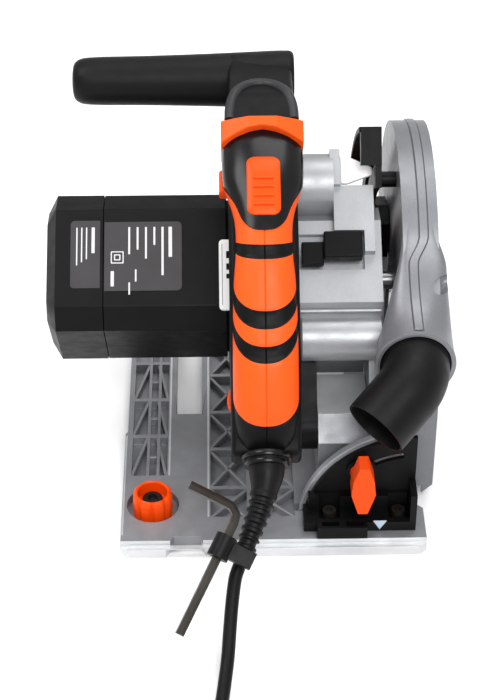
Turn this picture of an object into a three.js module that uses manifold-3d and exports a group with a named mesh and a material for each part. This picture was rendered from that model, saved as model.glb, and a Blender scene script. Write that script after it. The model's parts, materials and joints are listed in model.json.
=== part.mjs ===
// Track plunge saw: a corded circular saw that plunges about a rear pivot, on a cast base for a guide rail.
// Millimetres, +Z up. The origin is on the sole at the middle of the base plate; +Y is the cutting
// direction and +X the blade side. The saw is stored raised, with its blade inside the cover.
import * as THREE from 'three';
import { ConvexGeometry } from 'three/addons/geometries/ConvexGeometry.js';
import { mergeVertices } from 'three/addons/utils/BufferGeometryUtils.js';
import Module from 'manifold-3d';

const wasm = await Module();
wasm.setup();

// ---------------------------------------------------------------- driving dimensions
const GAP = 0.3;                                   // between pieces that touch
const BASE = { halfX: 95, halfY: 150, height: 10, floor: 4, bladeEdgeX: 88.2 };
const TILT_AXIS = { x: 89.5, z: 0 };               // bevel axis, along Y in the sole plane
const PIVOT = { y: -88, z: 52 };                   // plunge axis, along X
const RAISED = THREE.MathUtils.degToRad(35);       // the saw unit's nose-up angle at rest
const MOTOR = { u: 98, w: 6, half: 42.5, left: -139.5, split: -104, right: -27 };
const MOTOR_SECTION = [[70, -37], [128, -37], [144, -20], [144, 36], [129, 49.5], [65, 49.5], [53, 38],
  [53, -19]];
const GEAR = { module: 1.2, wheelTeeth: 38, pinionTeeth: 12, left: 34, right: 46, lineDeg: -74.5 };
const GEAR_DISTANCE = GEAR.module * (GEAR.wheelTeeth + GEAR.pinionTeeth) / 2;
const GEAR_LINE = THREE.MathUtils.degToRad(GEAR.lineDeg);
const SPINDLE = {
  u: MOTOR.u + GEAR_DISTANCE * Math.cos(GEAR_LINE),
  w: MOTOR.w + GEAR_DISTANCE * Math.sin(GEAR_LINE),
};
const BLADE = { radius: 82.5, left: 89.2, right: 91.4, teeth: 24 };
const COVER = { y: 20, z: 97, radius: 98, wall: 2.5, left: 80.5, right: 102, skirtZ: 4, innerSkirtZ: 13,
  rearY: -106 };
const DUST = { x: 86, frontY: -66, y: -105, z: 115, outerR: 24, innerR: 20.6 };
const ELBOW = { radius: 20.2, wall: 2, lead: 3, bendRadius: 26, bendDeg: 52, tail: 27, sideX: -0.843,
  sideZ: -0.538 };
const SECTOR = { radius: 73.5, bracketRadius: 70.7, clampRadius: 57.5, clampDeg: 127.3, rearY: -122,
  frontY: 126 };
const HANDLE = { seamX: -5, gripHalf: 16.5, bodyHalf: 21 };
const BAR = { u: 217, w: 50, left: -124, right: 17, tipRadius: 15, rootRadius: 18.3 };
const CORD = { radius: 4, exit: [-21.5, -98, 61] };
const COIL = { x: 9, y: -356, meanR: 44, halfWidth: 12.3, bottom: 1.5, top: 25 };
const KEY = { flats: 5, bend: [-21.3, -189.6, 75], longArm: [-36.4, -57.4, -45], longLength: 80,
  shortArm: [-29, 9.5, 10.5] };

// ---------------------------------------------------------------- solids from three.js geometry
// X_AXIS carries (a, b, depth) to (Y, Z, X), and Y_AXIS carries it to (X, Z, -Y).
const X_AXIS = new THREE.Matrix4().set(0, 0, 1, 0, 1, 0, 0, 0, 0, 1, 0, 0, 0, 0, 0, 1);
const Y_AXIS = new THREE.Matrix4().set(1, 0, 0, 0, 0, 0, -1, 0, 0, 1, 0, 0, 0, 0, 0, 1);

function solid(geometry, matrix) {
  let g = geometry.clone();
  if (matrix) g.applyMatrix4(matrix);
  g.deleteAttribute('normal');
  g.deleteAttribute('uv');
  g = mergeVertices(g, 1e-4);
  const m = new wasm.Manifold(new wasm.Mesh({
    numProp: 3,
    vertProperties: new Float32Array(g.attributes.position.array),
    triVerts: new Uint32Array(g.index.array),
  }));
  if (m.volume() > 0) return m;
  const flipped = Uint32Array.from(g.index.array);
  for (let i = 0; i < flipped.length; i += 3) [flipped[i], flipped[i + 1]] = [flipped[i + 1], flipped[i]];
  return new wasm.Manifold(new wasm.Mesh({
    numProp: 3, vertProperties: new Float32Array(g.attributes.position.array), triVerts: flipped,
  }));
}

const join = (...parts) => parts.reduce((a, b) => a.add(b));
const cut = (body, ...tools) => tools.reduce((a, b) => a.subtract(b), body);

function outline(points) {
  return new THREE.Shape(points.map(([a, b]) => new THREE.Vector2(a, b)));
}

function extrude(shape, depth, matrix, segments) {
  const geometry = new THREE.ExtrudeGeometry(shape,
    { depth, bevelEnabled: false, curveSegments: segments });
  return solid(geometry, matrix);
}

// A prism between two stations on one axis; its outline is in the other two coordinates, in X, Y, Z order.
function prism(axis, shape, from, to, segments = 8) {
  const low = Math.min(from, to);
  const high = Math.max(from, to);
  if (axis === 'x') return extrude(shape, high - low,
    new THREE.Matrix4().makeTranslation(low, 0, 0).multiply(X_AXIS), segments);
  if (axis === 'y') return extrude(shape, high - low,
    new THREE.Matrix4().makeTranslation(0, high, 0).multiply(Y_AXIS), segments);
  return extrude(shape, high - low, new THREE.Matrix4().makeTranslation(0, 0, low), segments);
}

// The two ends on each axis come in either order.
function box(x0, x1, y0, y1, z0, z1) {
  const g = new THREE.BoxGeometry(Math.abs(x1 - x0), Math.abs(y1 - y0), Math.abs(z1 - z0));
  return solid(g, new THREE.Matrix4().makeTranslation((x0 + x1) / 2, (y0 + y1) / 2, (z0 + z1) / 2));
}

function disc(a, b, radius) {
  return new THREE.Shape().absarc(a, b, radius, 0, Math.PI * 2);
}

// A round bar along an axis at (a, b) in the other two coordinates.
const rod = (axis, a, b, radius, from, to, segments = 10) => prism(axis, disc(a, b, radius), from, to,
  segments);
const pipe = (axis, a, b, outer, inner, from, to, segments = 10) =>
  rod(axis, a, b, outer, from, to, segments).subtract(rod(axis, a, b, inner, from - 1, to + 1, segments));

// A turned body: profile of [radius, station] pairs round the axis through (a, b).
function turned(axis, a, b, profile, segments = 24) {
  const g = new THREE.LatheGeometry(profile.map(([r, s]) => new THREE.Vector2(r, s)), segments);
  const turn = new THREE.Matrix4();
  if (axis === 'x') turn.set(0, 1, 0, 0, 0, 0, 1, a, 1, 0, 0, b, 0, 0, 0, 1);
  if (axis === 'y') turn.set(0, 0, 1, a, 0, 1, 0, 0, 1, 0, 0, b, 0, 0, 0, 1);
  if (axis === 'z') turn.set(1, 0, 0, a, 0, 0, 1, b, 0, 1, 0, 0, 0, 0, 0, 1);
  return solid(g, turn);
}

function sweep(points, radius, sides, steps) {
  const path = new THREE.CatmullRomCurve3(points.map((p) => new THREE.Vector3(...p)), false, 'centripetal');
  const section = new THREE.Shape().absarc(0, 0, radius, 0, Math.PI * 2);
  return solid(new THREE.ExtrudeGeometry(section,
    { steps, extrudePath: path, curveSegments: sides, bevelEnabled: false }));
}

function octagon(u, w, half, chamfer) {
  const flat = half - chamfer;
  return outline([[u - flat, w - half], [u + flat, w - half], [u + half, w - flat], [u + half, w + flat],
    [u + flat, w + half], [u - flat, w + half], [u - half, w + flat], [u - half, w - flat]]);
}

// ---------------------------------------------------------------- scene graph and materials
const saw = new THREE.Group();
saw.name = 'track_plunge_saw';
const sawUnit = new THREE.Group();                 // local (x, u, w): u forward and w up from the plunge axis
sawUnit.position.set(0, PIVOT.y, PIVOT.z);
sawUnit.rotation.x = RAISED;
saw.add(sawUnit);

const finish = (color, roughness, metalness = 0) => ({ color, roughness, metalness });
const CAST = finish(0xa6a8ab, 0.45, 0.7);
const CAST_DARK = finish(0x73767a, 0.5, 0.6);
const STEEL = finish(0xb4b6b8, 0.3, 1);
const BLACKENED = finish(0x3b3633, 0.4, 0.8);
const BLACK = finish(0x1d1d20, 0.5);
const RUBBER = finish(0x141416, 0.7);
const ORANGE = finish(0xff5b24, 0.45);
const COPPER = finish(0xb06a3a, 0.4, 0.8);
const WHITE = finish(0xe8e8e6, 0.4);

function add(parent, name, manifold, look) {
  const m = manifold.getMesh();
  const geometry = new THREE.BufferGeometry();
  const positions = new Float32Array(m.numVert * 3);
  for (let i = 0; i < m.numVert; i += 1) {
    for (let k = 0; k < 3; k += 1) positions[3 * i + k] = m.vertProperties[m.numProp * i + k];
  }
  geometry.setAttribute('position', new THREE.BufferAttribute(positions, 3));
  geometry.setIndex(new THREE.BufferAttribute(Uint32Array.from(m.triVerts), 1));
  const mesh = new THREE.Mesh(geometry, new THREE.MeshStandardMaterial(look));
  mesh.name = name;
  parent.add(mesh);
  return mesh;
}

// ---------------------------------------------------------------- base plate
const RAIL_BAND = { x0: -65, x1: -41 };            // raised band over the guide rail's rib
const RAIL_SLOT = { x0: -61.5, x1: -44.5, y0: -22, y1: 106 };
const GEAR_WINDOW = { x0: 27, x1: 54, y0: -20, y1: 50 };
const CAM_KNOB = { x: -75.5, rearY: -112, frontY: 116, recessR: 16.5, radius: 12.5, boreR: 9.3, base: 4.4,
  top: 21 };

function basePlate() {
  const rim = 4;
  const bladeEdge = [[BASE.halfX, -118], [BASE.bladeEdgeX, -112], [BASE.bladeEdgeX, 124],
    [BASE.halfX, 130]];
  const plate = prism('z', outline([
    [-BASE.halfX, -146], [-91, -BASE.halfY], [-67, -BASE.halfY], [-62, -142], [-46, -142], [-41,
      -BASE.halfY],
    [91, -BASE.halfY], [BASE.halfX, -146], ...bladeEdge, [BASE.halfX, 146], [91, BASE.halfY],
    [-90, BASE.halfY], [-93.5, 146], [-93.5, -40], [-BASE.halfX, -42],
  ]), 0, BASE.height);
  const pockets = [];
  const pocket = (x0, x1, y0, y1) => pockets.push(box(x0, x1, y0, y1, BASE.floor, BASE.height + 1));
  const leftColumns = [[-90, -80.5], [-78.5, -74], [-72, RAIL_BAND.x0 - 2]];
  const rows = [[-84, -46], [-43, -8], [-5, 32], [35, 60], [63, 92]];
  for (const [y0, y1] of rows) for (const [x0, x1] of leftColumns) pocket(x0, x1, y0, y1);
  for (const [y0, y1] of [[-124, -98], [-95, -60], [-57, -22], [-19, 18], [21, 58], [61, 98], [101, 120]]) {
    pocket(RAIL_BAND.x1 + rim / 2, -16, y0, y1);
    pocket(-13, 14, y0, y1);
  }
  pocket(20, 84, 56, 108);
  pocket(20, 84, -50, -24);
  pocket(13, 66, SECTOR.rearY + 2.5, SECTOR.rearY + 9.5);
  pocket(13, 66, SECTOR.frontY - 6.5, SECTOR.frontY + 0.5);
  const recesses = [CAM_KNOB.rearY, CAM_KNOB.frontY].map((y) =>
    rod('z', CAM_KNOB.x, y, CAM_KNOB.recessR, BASE.floor, BASE.height + 1, 24));
  const rearStep = box(-BASE.halfX - 1, BASE.halfX + 1, -BASE.halfY - 1, -145.5, 6.5, BASE.height + 1);
  const through = [
    box(RAIL_SLOT.x0, RAIL_SLOT.x1, RAIL_SLOT.y0, RAIL_SLOT.y1, -1, BASE.height + 1),
    box(GEAR_WINDOW.x0, GEAR_WINDOW.x1, GEAR_WINDOW.y0, GEAR_WINDOW.y1, -1, BASE.height + 1),
  ];
  const railGroove = box(RAIL_BAND.x0 + 2, RAIL_BAND.x1 - 2, -BASE.halfY - 1, BASE.halfY + 1, -1, 1.6);
  return cut(plate, ...pockets, ...recesses, rearStep, ...through, railGroove);
}
add(saw, 'base_plate', basePlate(), CAST_DARK);

// Fluted hollow knobs that draw the rail cams against the guide rail's rib.
function camKnob(y) {
  const skirt = new THREE.Shape();
  const flutes = 12;
  for (let i = 0; i < flutes * 4; i += 1) {
    const angle = i / (flutes * 4) * Math.PI * 2;
    const r = CAM_KNOB.radius - (i % 4 === 0 ? 1 : 0);
    skirt[i ? 'lineTo' : 'moveTo'](CAM_KNOB.x + r * Math.cos(angle), y + r * Math.sin(angle));
  }
  const body = prism('z', skirt, CAM_KNOB.base, CAM_KNOB.top);
  return cut(body, rod('z', CAM_KNOB.x, y, CAM_KNOB.boreR, 12, CAM_KNOB.top + 1))
    .add(rod('z', CAM_KNOB.x, y, 4.2, 11, 15, 8));
}
add(saw, 'rear_rail_cam_knob', camKnob(CAM_KNOB.rearY), ORANGE);
add(saw, 'front_rail_cam_knob', camKnob(CAM_KNOB.frontY), ORANGE);

// ---------------------------------------------------------------- bevel brackets, sectors and clamp knobs
function quarter(radius, bottom, right) {
  const shape = new THREE.Shape();
  shape.moveTo(right, bottom);
  shape.lineTo(right, Math.sqrt(radius ** 2 - (TILT_AXIS.x - right) ** 2));
  shape.absarc(TILT_AXIS.x, TILT_AXIS.z, radius, Math.acos((right - TILT_AXIS.x) / radius),
    Math.PI - Math.asin(Math.min(1, Math.max(bottom, 0) / radius)), false);
  return shape;
}
function arcSlot(radius, halfWidth, fromDeg, toDeg) {
  const a = THREE.MathUtils.degToRad(fromDeg);
  const b = THREE.MathUtils.degToRad(toDeg);
  const s = new THREE.Shape();
  s.absarc(TILT_AXIS.x, TILT_AXIS.z, radius + halfWidth, a, b, false);
  s.absarc(TILT_AXIS.x, TILT_AXIS.z, radius - halfWidth, b, a, true);
  return s;
}
const CLAMP = {
  x: TILT_AXIS.x + SECTOR.clampRadius * Math.cos(THREE.MathUtils.degToRad(SECTOR.clampDeg)),
  z: SECTOR.clampRadius * Math.sin(THREE.MathUtils.degToRad(SECTOR.clampDeg)),
  boltR: 3,
};
const BRACKET_SCREW_X = [35, 78];

// dir is -1 at the rear and 1 at the front; plateY is the outer face of the upright plate.
function bevelBracket(plateY, dir) {
  const top = BASE.height + GAP;
  const y = (offset) => plateY + dir * offset;
  const plate = prism('y', quarter(SECTOR.bracketRadius, top, 88.5), y(0), y(-3), 14);
  const foot = join(
    box(19, 88.5, y(-1), y(17), top, top + 7),
    box(22, 84, y(-1), y(5), top + 7, top + 18),
    box(84.5, 88.5, y(-1), y(17), top + 6, top + 28),
    box(27, 58, y(16), y(24), top, top + 9),
  );
  const tools = BRACKET_SCREW_X.map((x) =>
    box(x - 6.5, x + 6.5, y(2), y(12.5), top + 2, top + 30));
  for (const x of [30, 45]) {
    tools.push(box(x, x + 10.5, y(18), y(22), top + 3, top + 12));
  }
  tools.push(prism('y', arcSlot(SECTOR.clampRadius, 2, 99, 118), plateY - 8, plateY + 8, 8));
  tools.push(rod('y', CLAMP.x, CLAMP.z, CLAMP.boltR + 0.1, plateY - 8, plateY + 8, 16));
  return cut(plate.add(foot), ...tools);
}
add(saw, 'rear_bevel_bracket', bevelBracket(SECTOR.rearY, -1), BLACK);
add(saw, 'front_bevel_bracket', bevelBracket(SECTOR.frontY + 3, 1), BLACK);

function socketScrew(axis, a, b, from, to, head, radius = 4.2) {
  const body = rod(axis, a, b, radius, from, to, 16);
  const socket = rod(axis, a, b, radius * 0.5, head - 2.2, head + 2.2, 6);
  return body.subtract(socket);
}
for (const [end, plateY, dir] of [['rear', SECTOR.rearY, -1], ['front', SECTOR.frontY + 3, 1]]) {
  BRACKET_SCREW_X.forEach((x, i) => {
    const z = BASE.height + GAP + 2 + GAP;
    const side = i ? 'right' : 'left';
    add(saw, `${end}_bracket_screw_${side}`, socketScrew('z', x, plateY + dir * 7.2, z, z + 7, z + 7),
      BLACKENED);
  });
}

// Winged clamp knob with its bolt; the bolt runs through the bracket into the sector's slot.
function wingKnob(plateY, dir) {
  const y = (offset) => plateY + dir * offset;
  const wing = prism('y', outline([
    [CLAMP.x - 3, CLAMP.z + 19], [CLAMP.x + 3, CLAMP.z + 19], [CLAMP.x + 6.5,
      CLAMP.z + 8], [CLAMP.x + 7.5, CLAMP.z - 2],
    [CLAMP.x + 3, CLAMP.z - 17], [CLAMP.x - 3, CLAMP.z - 17], [CLAMP.x - 7.5,
      CLAMP.z - 2], [CLAMP.x - 6.5, CLAMP.z + 8],
  ]), y(9), y(22));
  const hub = rod('y', CLAMP.x, CLAMP.z, 7, y(1.8), y(10), 20);
  const washer = rod('y', CLAMP.x, CLAMP.z, 9.5, y(GAP), y(2), 24);
  const bolt = rod('y', CLAMP.x, CLAMP.z, CLAMP.boltR, y(-11), y(3), 16);
  const nut = rod('y', CLAMP.x, CLAMP.z, 5.5, y(-13), y(-9.2), 6);
  return join(wing, hub, washer, bolt, nut);
}
add(saw, 'rear_bevel_knob', wingKnob(SECTOR.rearY, -1), ORANGE);
add(saw, 'front_bevel_knob', wingKnob(SECTOR.frontY + 3, 1), ORANGE);

// Tilting sectors, 5 mm cast plates with the long clamp slot that lets the frame tilt by 45 degrees.
const SECTOR_THICKNESS = 5;
const SECTOR_BOTTOM = BASE.floor + 1.5;
function sector(y0) {
  const plate = prism('y', quarter(SECTOR.radius, SECTOR_BOTTOM, 80), y0, y0 + SECTOR_THICKNESS, 16);
  const relief = rod('y', TILT_AXIS.x, TILT_AXIS.z, 28, y0 - 1, y0 + SECTOR_THICKNESS + 1);
  const slot = prism('y', arcSlot(SECTOR.clampRadius, CLAMP.boltR + 0.4, 123, 180), y0 - 1,
    y0 + SECTOR_THICKNESS + 1, 10);
  return cut(plate, relief, slot);
}
const REAR_SECTOR_Y = SECTOR.rearY + 3 + GAP;
const FRONT_SECTOR_Y = SECTOR.frontY - GAP - SECTOR_THICKNESS;
add(saw, 'rear_sector', sector(REAR_SECTOR_Y), CAST);
add(saw, 'front_sector', sector(FRONT_SECTOR_Y), CAST);

// ---------------------------------------------------------------- tilting frame with the pivot box
const PIVOT_PIN = { radius: 6, left: 3, right: 70 };
const PIVOT_BOX = { x0: 28.7, x1: 60.5, y0: -104, y1: -46, top: 66 };
function frameCasting() {
  const floor = BASE.height + 4;
  const rearInner = REAR_SECTOR_Y + SECTOR_THICKNESS + GAP;
  const frontInner = FRONT_SECTOR_Y - GAP;
  const pivotBox = prism('x', outline([
    [PIVOT_BOX.y0, floor], [PIVOT_BOX.y1, floor], [PIVOT_BOX.y1, PIVOT_BOX.top - 6], [PIVOT_BOX.y1 - 6,
      PIVOT_BOX.top],
    [PIVOT_BOX.y0 + 12, PIVOT_BOX.top], [PIVOT_BOX.y0, PIVOT_BOX.top - 14],
  ]), PIVOT_BOX.x0, PIVOT_BOX.x1);
  const web = box(PIVOT_BOX.x1 - 5, COVER.left - GAP, rearInner + 4, -60, floor, 28);
  const rearFlange = box(62, COVER.left - GAP, rearInner, rearInner + 5, floor, 40);
  const rail = box(70.2, COVER.left - GAP, rearInner, frontInner, floor, 24);
  const frontFlange = box(62, COVER.left - GAP, frontInner - 5, frontInner, floor, 40);
  const sideWall = box(COVER.left - GAP - 4, COVER.left - GAP, 62, frontInner, floor, 44);
  const solidFrame = join(pivotBox, web, rearFlange, rail, frontFlange, sideWall);
  const pinBore = rod('x', PIVOT.y, PIVOT.z, PIVOT_PIN.radius + 0.05, PIVOT_BOX.x0 - 1, PIVOT_BOX.x1 + 1,
    16);
  const plunging = box(56, COVER.left + 1, -32, 58, 16, 60);
  return cut(solidFrame, pinBore, plunging);
}
add(saw, 'frame_casting', frameCasting(), CAST);
add(saw, 'pivot_pin', rod('x', PIVOT.y, PIVOT.z, PIVOT_PIN.radius, PIVOT_PIN.left, PIVOT_PIN.right, 16),
  STEEL);

// Torsion spring round the free end of the pivot pin; it holds the saw unit up.
function returnSpring() {
  const turns = 4.5;
  const points = [];
  for (let i = 0; i <= turns * 12; i += 1) {
    const angle = i / 12 * Math.PI * 2;
    points.push([4.6 + 2.6 * i / 12, PIVOT.y + 8.2 * Math.cos(angle), PIVOT.z + 8.2 * Math.sin(angle)]);
  }
  return sweep(points, 1, 3, turns * 10);
}
add(saw, 'return_spring', returnSpring(), STEEL);

// ---------------------------------------------------------------- blade cover with its dust collar
function coverProfile(inset, bottom) {
  const r = COVER.radius - inset;
  const s = new THREE.Shape();
  const rear = COVER.rearY + inset;
  s.moveTo(rear, bottom);
  s.lineTo(COVER.y + r * 0.86, bottom);
  s.lineTo(COVER.y + r * 0.985, bottom + 22);
  s.lineTo(COVER.y + r, COVER.z);
  s.absarc(COVER.y, COVER.z, r, 0, Math.PI * 0.84, false);
  s.lineTo(rear, DUST.z + 6);
  return s;
}
const unitToWorld = ([u, w], turn = RAISED) =>
  [PIVOT.y + u * Math.cos(turn) - w * Math.sin(turn), PIVOT.z + u * Math.sin(turn) + w * Math.cos(turn)];
function bladeCover() {
  const outer = prism('x', coverProfile(0, COVER.skirtZ), COVER.left, COVER.right, 18);
  const bevelRelief = prism('y', outline([[88, -2], [112, -2], [112, 23], [89, 0]]), -200, 200);
  const inner = prism('x', coverProfile(COVER.wall, -10), COVER.left + COVER.wall,
    COVER.right - COVER.wall, 18);
  const innerSkirt = box(COVER.left - 1, COVER.left + COVER.wall + 1, -200, 200, -10, COVER.innerSkirtZ);
  const overBase = box(COVER.left - 1, 95.5, -200, 200, -10, COVER.innerSkirtZ);
  const arborTravel = [];
  const travelSteps = 9;
  for (let i = 0; i <= travelSteps; i += 1) {
    const [y, z] = unitToWorld([SPINDLE.u, SPINDLE.w],
      RAISED - i / travelSteps * THREE.MathUtils.degToRad(36));
    arborTravel.push(rod('x', y, z, 18, COVER.left - 2, COVER.left + COVER.wall + 1, 8));
  }
  const arborExit = box(COVER.left - 2, COVER.left + COVER.wall + 1, -3, 34, -10, 40);
  const duct = rod('y', DUST.x, DUST.z, DUST.outerR, DUST.y, DUST.frontY, 14);
  const ductBore = rod('y', DUST.x, DUST.z, DUST.innerR + 1, DUST.y - 1, -60, 14);
  return cut(outer.add(duct), inner, ductBore, bevelRelief, innerSkirt, overBase, ...arborTravel,
    arborExit);
}
add(saw, 'blade_cover', bladeCover(), CAST);

// Dust elbow: a 52 degree bend that turns in the collar.
function dustElbow() {
  const bend = THREE.MathUtils.degToRad(ELBOW.bendDeg);
  const place = (along, aside) => [DUST.x + ELBOW.sideX * aside, DUST.y + 14 - along,
    DUST.z + ELBOW.sideZ * aside];
  const points = [];
  const lead = 14 + ELBOW.lead;
  for (const s of [-1, 0, lead / 2, lead]) points.push(place(s, 0));
  for (let i = 1; i <= 6; i += 1) {
    const a = bend * i / 6;
    points.push(place(lead + ELBOW.bendRadius * Math.sin(a), ELBOW.bendRadius * (1 - Math.cos(a))));
  }
  const endAlong = lead + ELBOW.bendRadius * Math.sin(bend);
  const endAside = ELBOW.bendRadius * (1 - Math.cos(bend));
  for (const s of [0.5, 1, 1.05]) {
    points.push(place(endAlong + ELBOW.tail * s * Math.cos(bend),
      endAside + ELBOW.tail * s * Math.sin(bend)));
  }
  const outer = sweep(points.slice(1, -1), ELBOW.radius, 9, 14);
  const inner = sweep(points, ELBOW.radius - ELBOW.wall, 9, 16);
  return outer.subtract(inner);
}
add(saw, 'dust_elbow', dustElbow(), BLACK);

// ---------------------------------------------------------------- depth scale and depth stop
const SCALE = { inner: 150, outer: 188, slotIn: 163, slotOut: 174, left: 66, right: 70, topDeg: 58,
  bottomDeg: 5 };
function aroundPivot(inner, outer, fromDeg, toDeg) {
  const a = THREE.MathUtils.degToRad(fromDeg);
  const b = THREE.MathUtils.degToRad(toDeg);
  const s = new THREE.Shape();
  s.absarc(PIVOT.y, PIVOT.z, outer, a, b, false);
  s.absarc(PIVOT.y, PIVOT.z, inner, b, a, true);
  return s;
}
function depthScale() {
  const plate = prism('x', aroundPivot(SCALE.inner, SCALE.outer, SCALE.bottomDeg, SCALE.topDeg),
    SCALE.left, SCALE.right, 8);
  const hood = prism('x', aroundPivot(SCALE.inner + 14, SCALE.outer, SCALE.topDeg - 2,
    SCALE.topDeg + 0.5), 57, SCALE.right, 3);
  const slot = prism('x', aroundPivot(SCALE.slotIn, SCALE.slotOut, SCALE.bottomDeg + 4, SCALE.topDeg - 4),
    60, 80, 8);
  const feet = [16, 52].map((deg) => {
    const a = THREE.MathUtils.degToRad(deg);
    return rod('x', PIVOT.y + 156 * Math.cos(a), PIVOT.z + 156 * Math.sin(a), 5, SCALE.right - 1,
      COVER.left - GAP, 6);
  });
  return cut(join(plate, hood, ...feet), slot);
}
add(saw, 'depth_scale', depthScale(), BLACK);

const STOP_DEG = 12;
const STOP_R = (SCALE.slotIn + SCALE.slotOut) / 2;
const STOP_Y = PIVOT.y + STOP_R * Math.cos(THREE.MathUtils.degToRad(STOP_DEG));
const STOP_Z = PIVOT.z + STOP_R * Math.sin(THREE.MathUtils.degToRad(STOP_DEG));
const depthStop = join(
  prism('x', aroundPivot(155, 182, STOP_DEG - 2.2, STOP_DEG + 2.2), SCALE.left - GAP - 5,
    SCALE.left - GAP, 6),
  rod('x', STOP_Y, STOP_Z, 5, SCALE.left - 2, SCALE.right + 3, 8),
  rod('x', STOP_Y, STOP_Z, 8, SCALE.right + GAP, SCALE.right + 3.5, 8),
);
add(saw, 'depth_stop', depthStop.subtract(rod('x', STOP_Y, STOP_Z, 3.1, 50, SCALE.left - 2.5, 8)), BLACK);
add(saw, 'depth_stop_knob', join(
  rod('x', STOP_Y, STOP_Z, 9, 49, SCALE.left - GAP - 5 - GAP, 10),
  rod('x', STOP_Y, STOP_Z, 3, 52, SCALE.left - 2.5 - GAP, 8),
), ORANGE);

// ---------------------------------------------------------------- motor
const cavityHalf = 39;
const motorShell = prism('x', outline(MOTOR_SECTION), MOTOR.split + GAP, MOTOR.right)
  .subtract(prism('x', octagon(MOTOR.u, MOTOR.w, cavityHalf, 13), MOTOR.split - 1, MOTOR.right - 5))
  .subtract(rod('x', MOTOR.u, MOTOR.w, 17, MOTOR.right - 6, MOTOR.right + 1, 24));
add(sawUnit, 'motor_housing', motorShell, BLACK);

function endCap() {
  const chamfer = 9;
  const chamferDepth = 6;
  const inset = 1 - chamfer / MOTOR.half;
  const ring = (x, scale) => MOTOR_SECTION.map(([u, w]) =>
    new THREE.Vector3(x, MOTOR.u + (u - MOTOR.u) * scale, MOTOR.w + (w - MOTOR.w) * scale));
  const rings = [...ring(MOTOR.left, inset), ...ring(MOTOR.left + chamferDepth, 1),
    ...ring(MOTOR.split, 1)];
  const shell = solid(new ConvexGeometry(rings));
  const hollow = prism('x', octagon(MOTOR.u, MOTOR.w, cavityHalf - 3, 12), MOTOR.left + 9, MOTOR.split + 1);
  const ventCount = 7;
  const vents = [];
  for (let i = 0; i < ventCount; i += 1) {
    const w = MOTOR.w - 21 + i * 7;
    vents.push(box(MOTOR.left - 1, MOTOR.left + 10, MOTOR.u - 26, MOTOR.u - 14, w - 1.6, w + 1.6));
    vents.push(box(MOTOR.left - 1, MOTOR.left + 10, MOTOR.u + 14, MOTOR.u + 26, w - 1.6, w + 1.6));
  }
  const seat = pipe('x', MOTOR.u, MOTOR.w, 13.5, 11.1, MOTOR.left + 7, MOTOR.left + 18);
  return cut(shell, hollow, ...vents).add(seat);
}
add(sawUnit, 'motor_end_cap', endCap(), BLACK);

const SHAFT_R = 4;
add(sawUnit, 'stator', pipe('x', MOTOR.u, MOTOR.w, cavityHalf - 0.5, 24, -97.5, -56), CAST_DARK);
add(sawUnit, 'armature_core', pipe('x', MOTOR.u, MOTOR.w, 22.8, SHAFT_R + 0.1, -97, -57), COPPER);
add(sawUnit, 'commutator', pipe('x', MOTOR.u, MOTOR.w, 12, SHAFT_R + 0.1, -119, -103), COPPER);
function fan() {
  const blades = [];
  for (let i = 0; i < 8; i += 1) {
    const turn = new THREE.Matrix4().makeTranslation(0, MOTOR.u,
      MOTOR.w).multiply(new THREE.Matrix4().makeRotationX(i * Math.PI / 4));
    blades.push(box(-48, -39, 8, 34, -1, 1).transform(turn.elements));
  }
  return join(pipe('x', MOTOR.u, MOTOR.w, 34, SHAFT_R + 0.1, -40, -37),
    pipe('x', MOTOR.u, MOTOR.w, 10, SHAFT_R + 0.1, -50, -39),
    ...blades);
}
add(sawUnit, 'fan', fan(), BLACK);
const bearing = (u, w, outer, inner, x0, x1) => pipe('x', u, w, outer, inner, x0, x1);
add(sawUnit, 'motor_bearing_outer', bearing(MOTOR.u, MOTOR.w, 11, SHAFT_R + 0.1, MOTOR.left + 9.3,
  MOTOR.left + 17), STEEL);
add(sawUnit, 'motor_bearing_inner', bearing(MOTOR.u, MOTOR.w, 11, SHAFT_R + 0.1, 18, 26), STEEL);
for (const [name, side] of [['brush_upper', 1], ['brush_lower', -1]]) {
  const near = MOTOR.w + side * 12.3;
  const far = MOTOR.w + side * (cavityHalf - 3.5);
  add(sawUnit, name, box(-117, -107, MOTOR.u - 5, MOTOR.u + 5, near, far), COPPER);
}

// Involute-like spur teeth, thinned so that the pair runs with backlash.
function spurOutline(u, w, teeth, phase) {
  const pitchR = GEAR.module * teeth / 2;
  const step = Math.PI * 2 / teeth;
  const flank = [[pitchR - 1.2 * GEAR.module, -0.31], [pitchR, -0.225],
    [pitchR + 0.85 * GEAR.module, -0.11],
    [pitchR + 0.85 * GEAR.module, 0.11], [pitchR, 0.225], [pitchR - 1.2 * GEAR.module, 0.31]];
  const points = [];
  for (let i = 0; i < teeth; i += 1) {
    for (const [r, f] of flank) {
      const a = phase + (i + f) * step;
      points.push([u + r * Math.cos(a), w + r * Math.sin(a)]);
    }
  }
  return outline(points);
}
const pinion = prism('x', spurOutline(MOTOR.u, MOTOR.w, GEAR.pinionTeeth, GEAR_LINE), GEAR.left,
  GEAR.right);
add(sawUnit, 'armature_shaft', rod('x', MOTOR.u, MOTOR.w, SHAFT_R, MOTOR.left + 9.5,
  GEAR.right + 1).add(pinion), STEEL);

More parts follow.
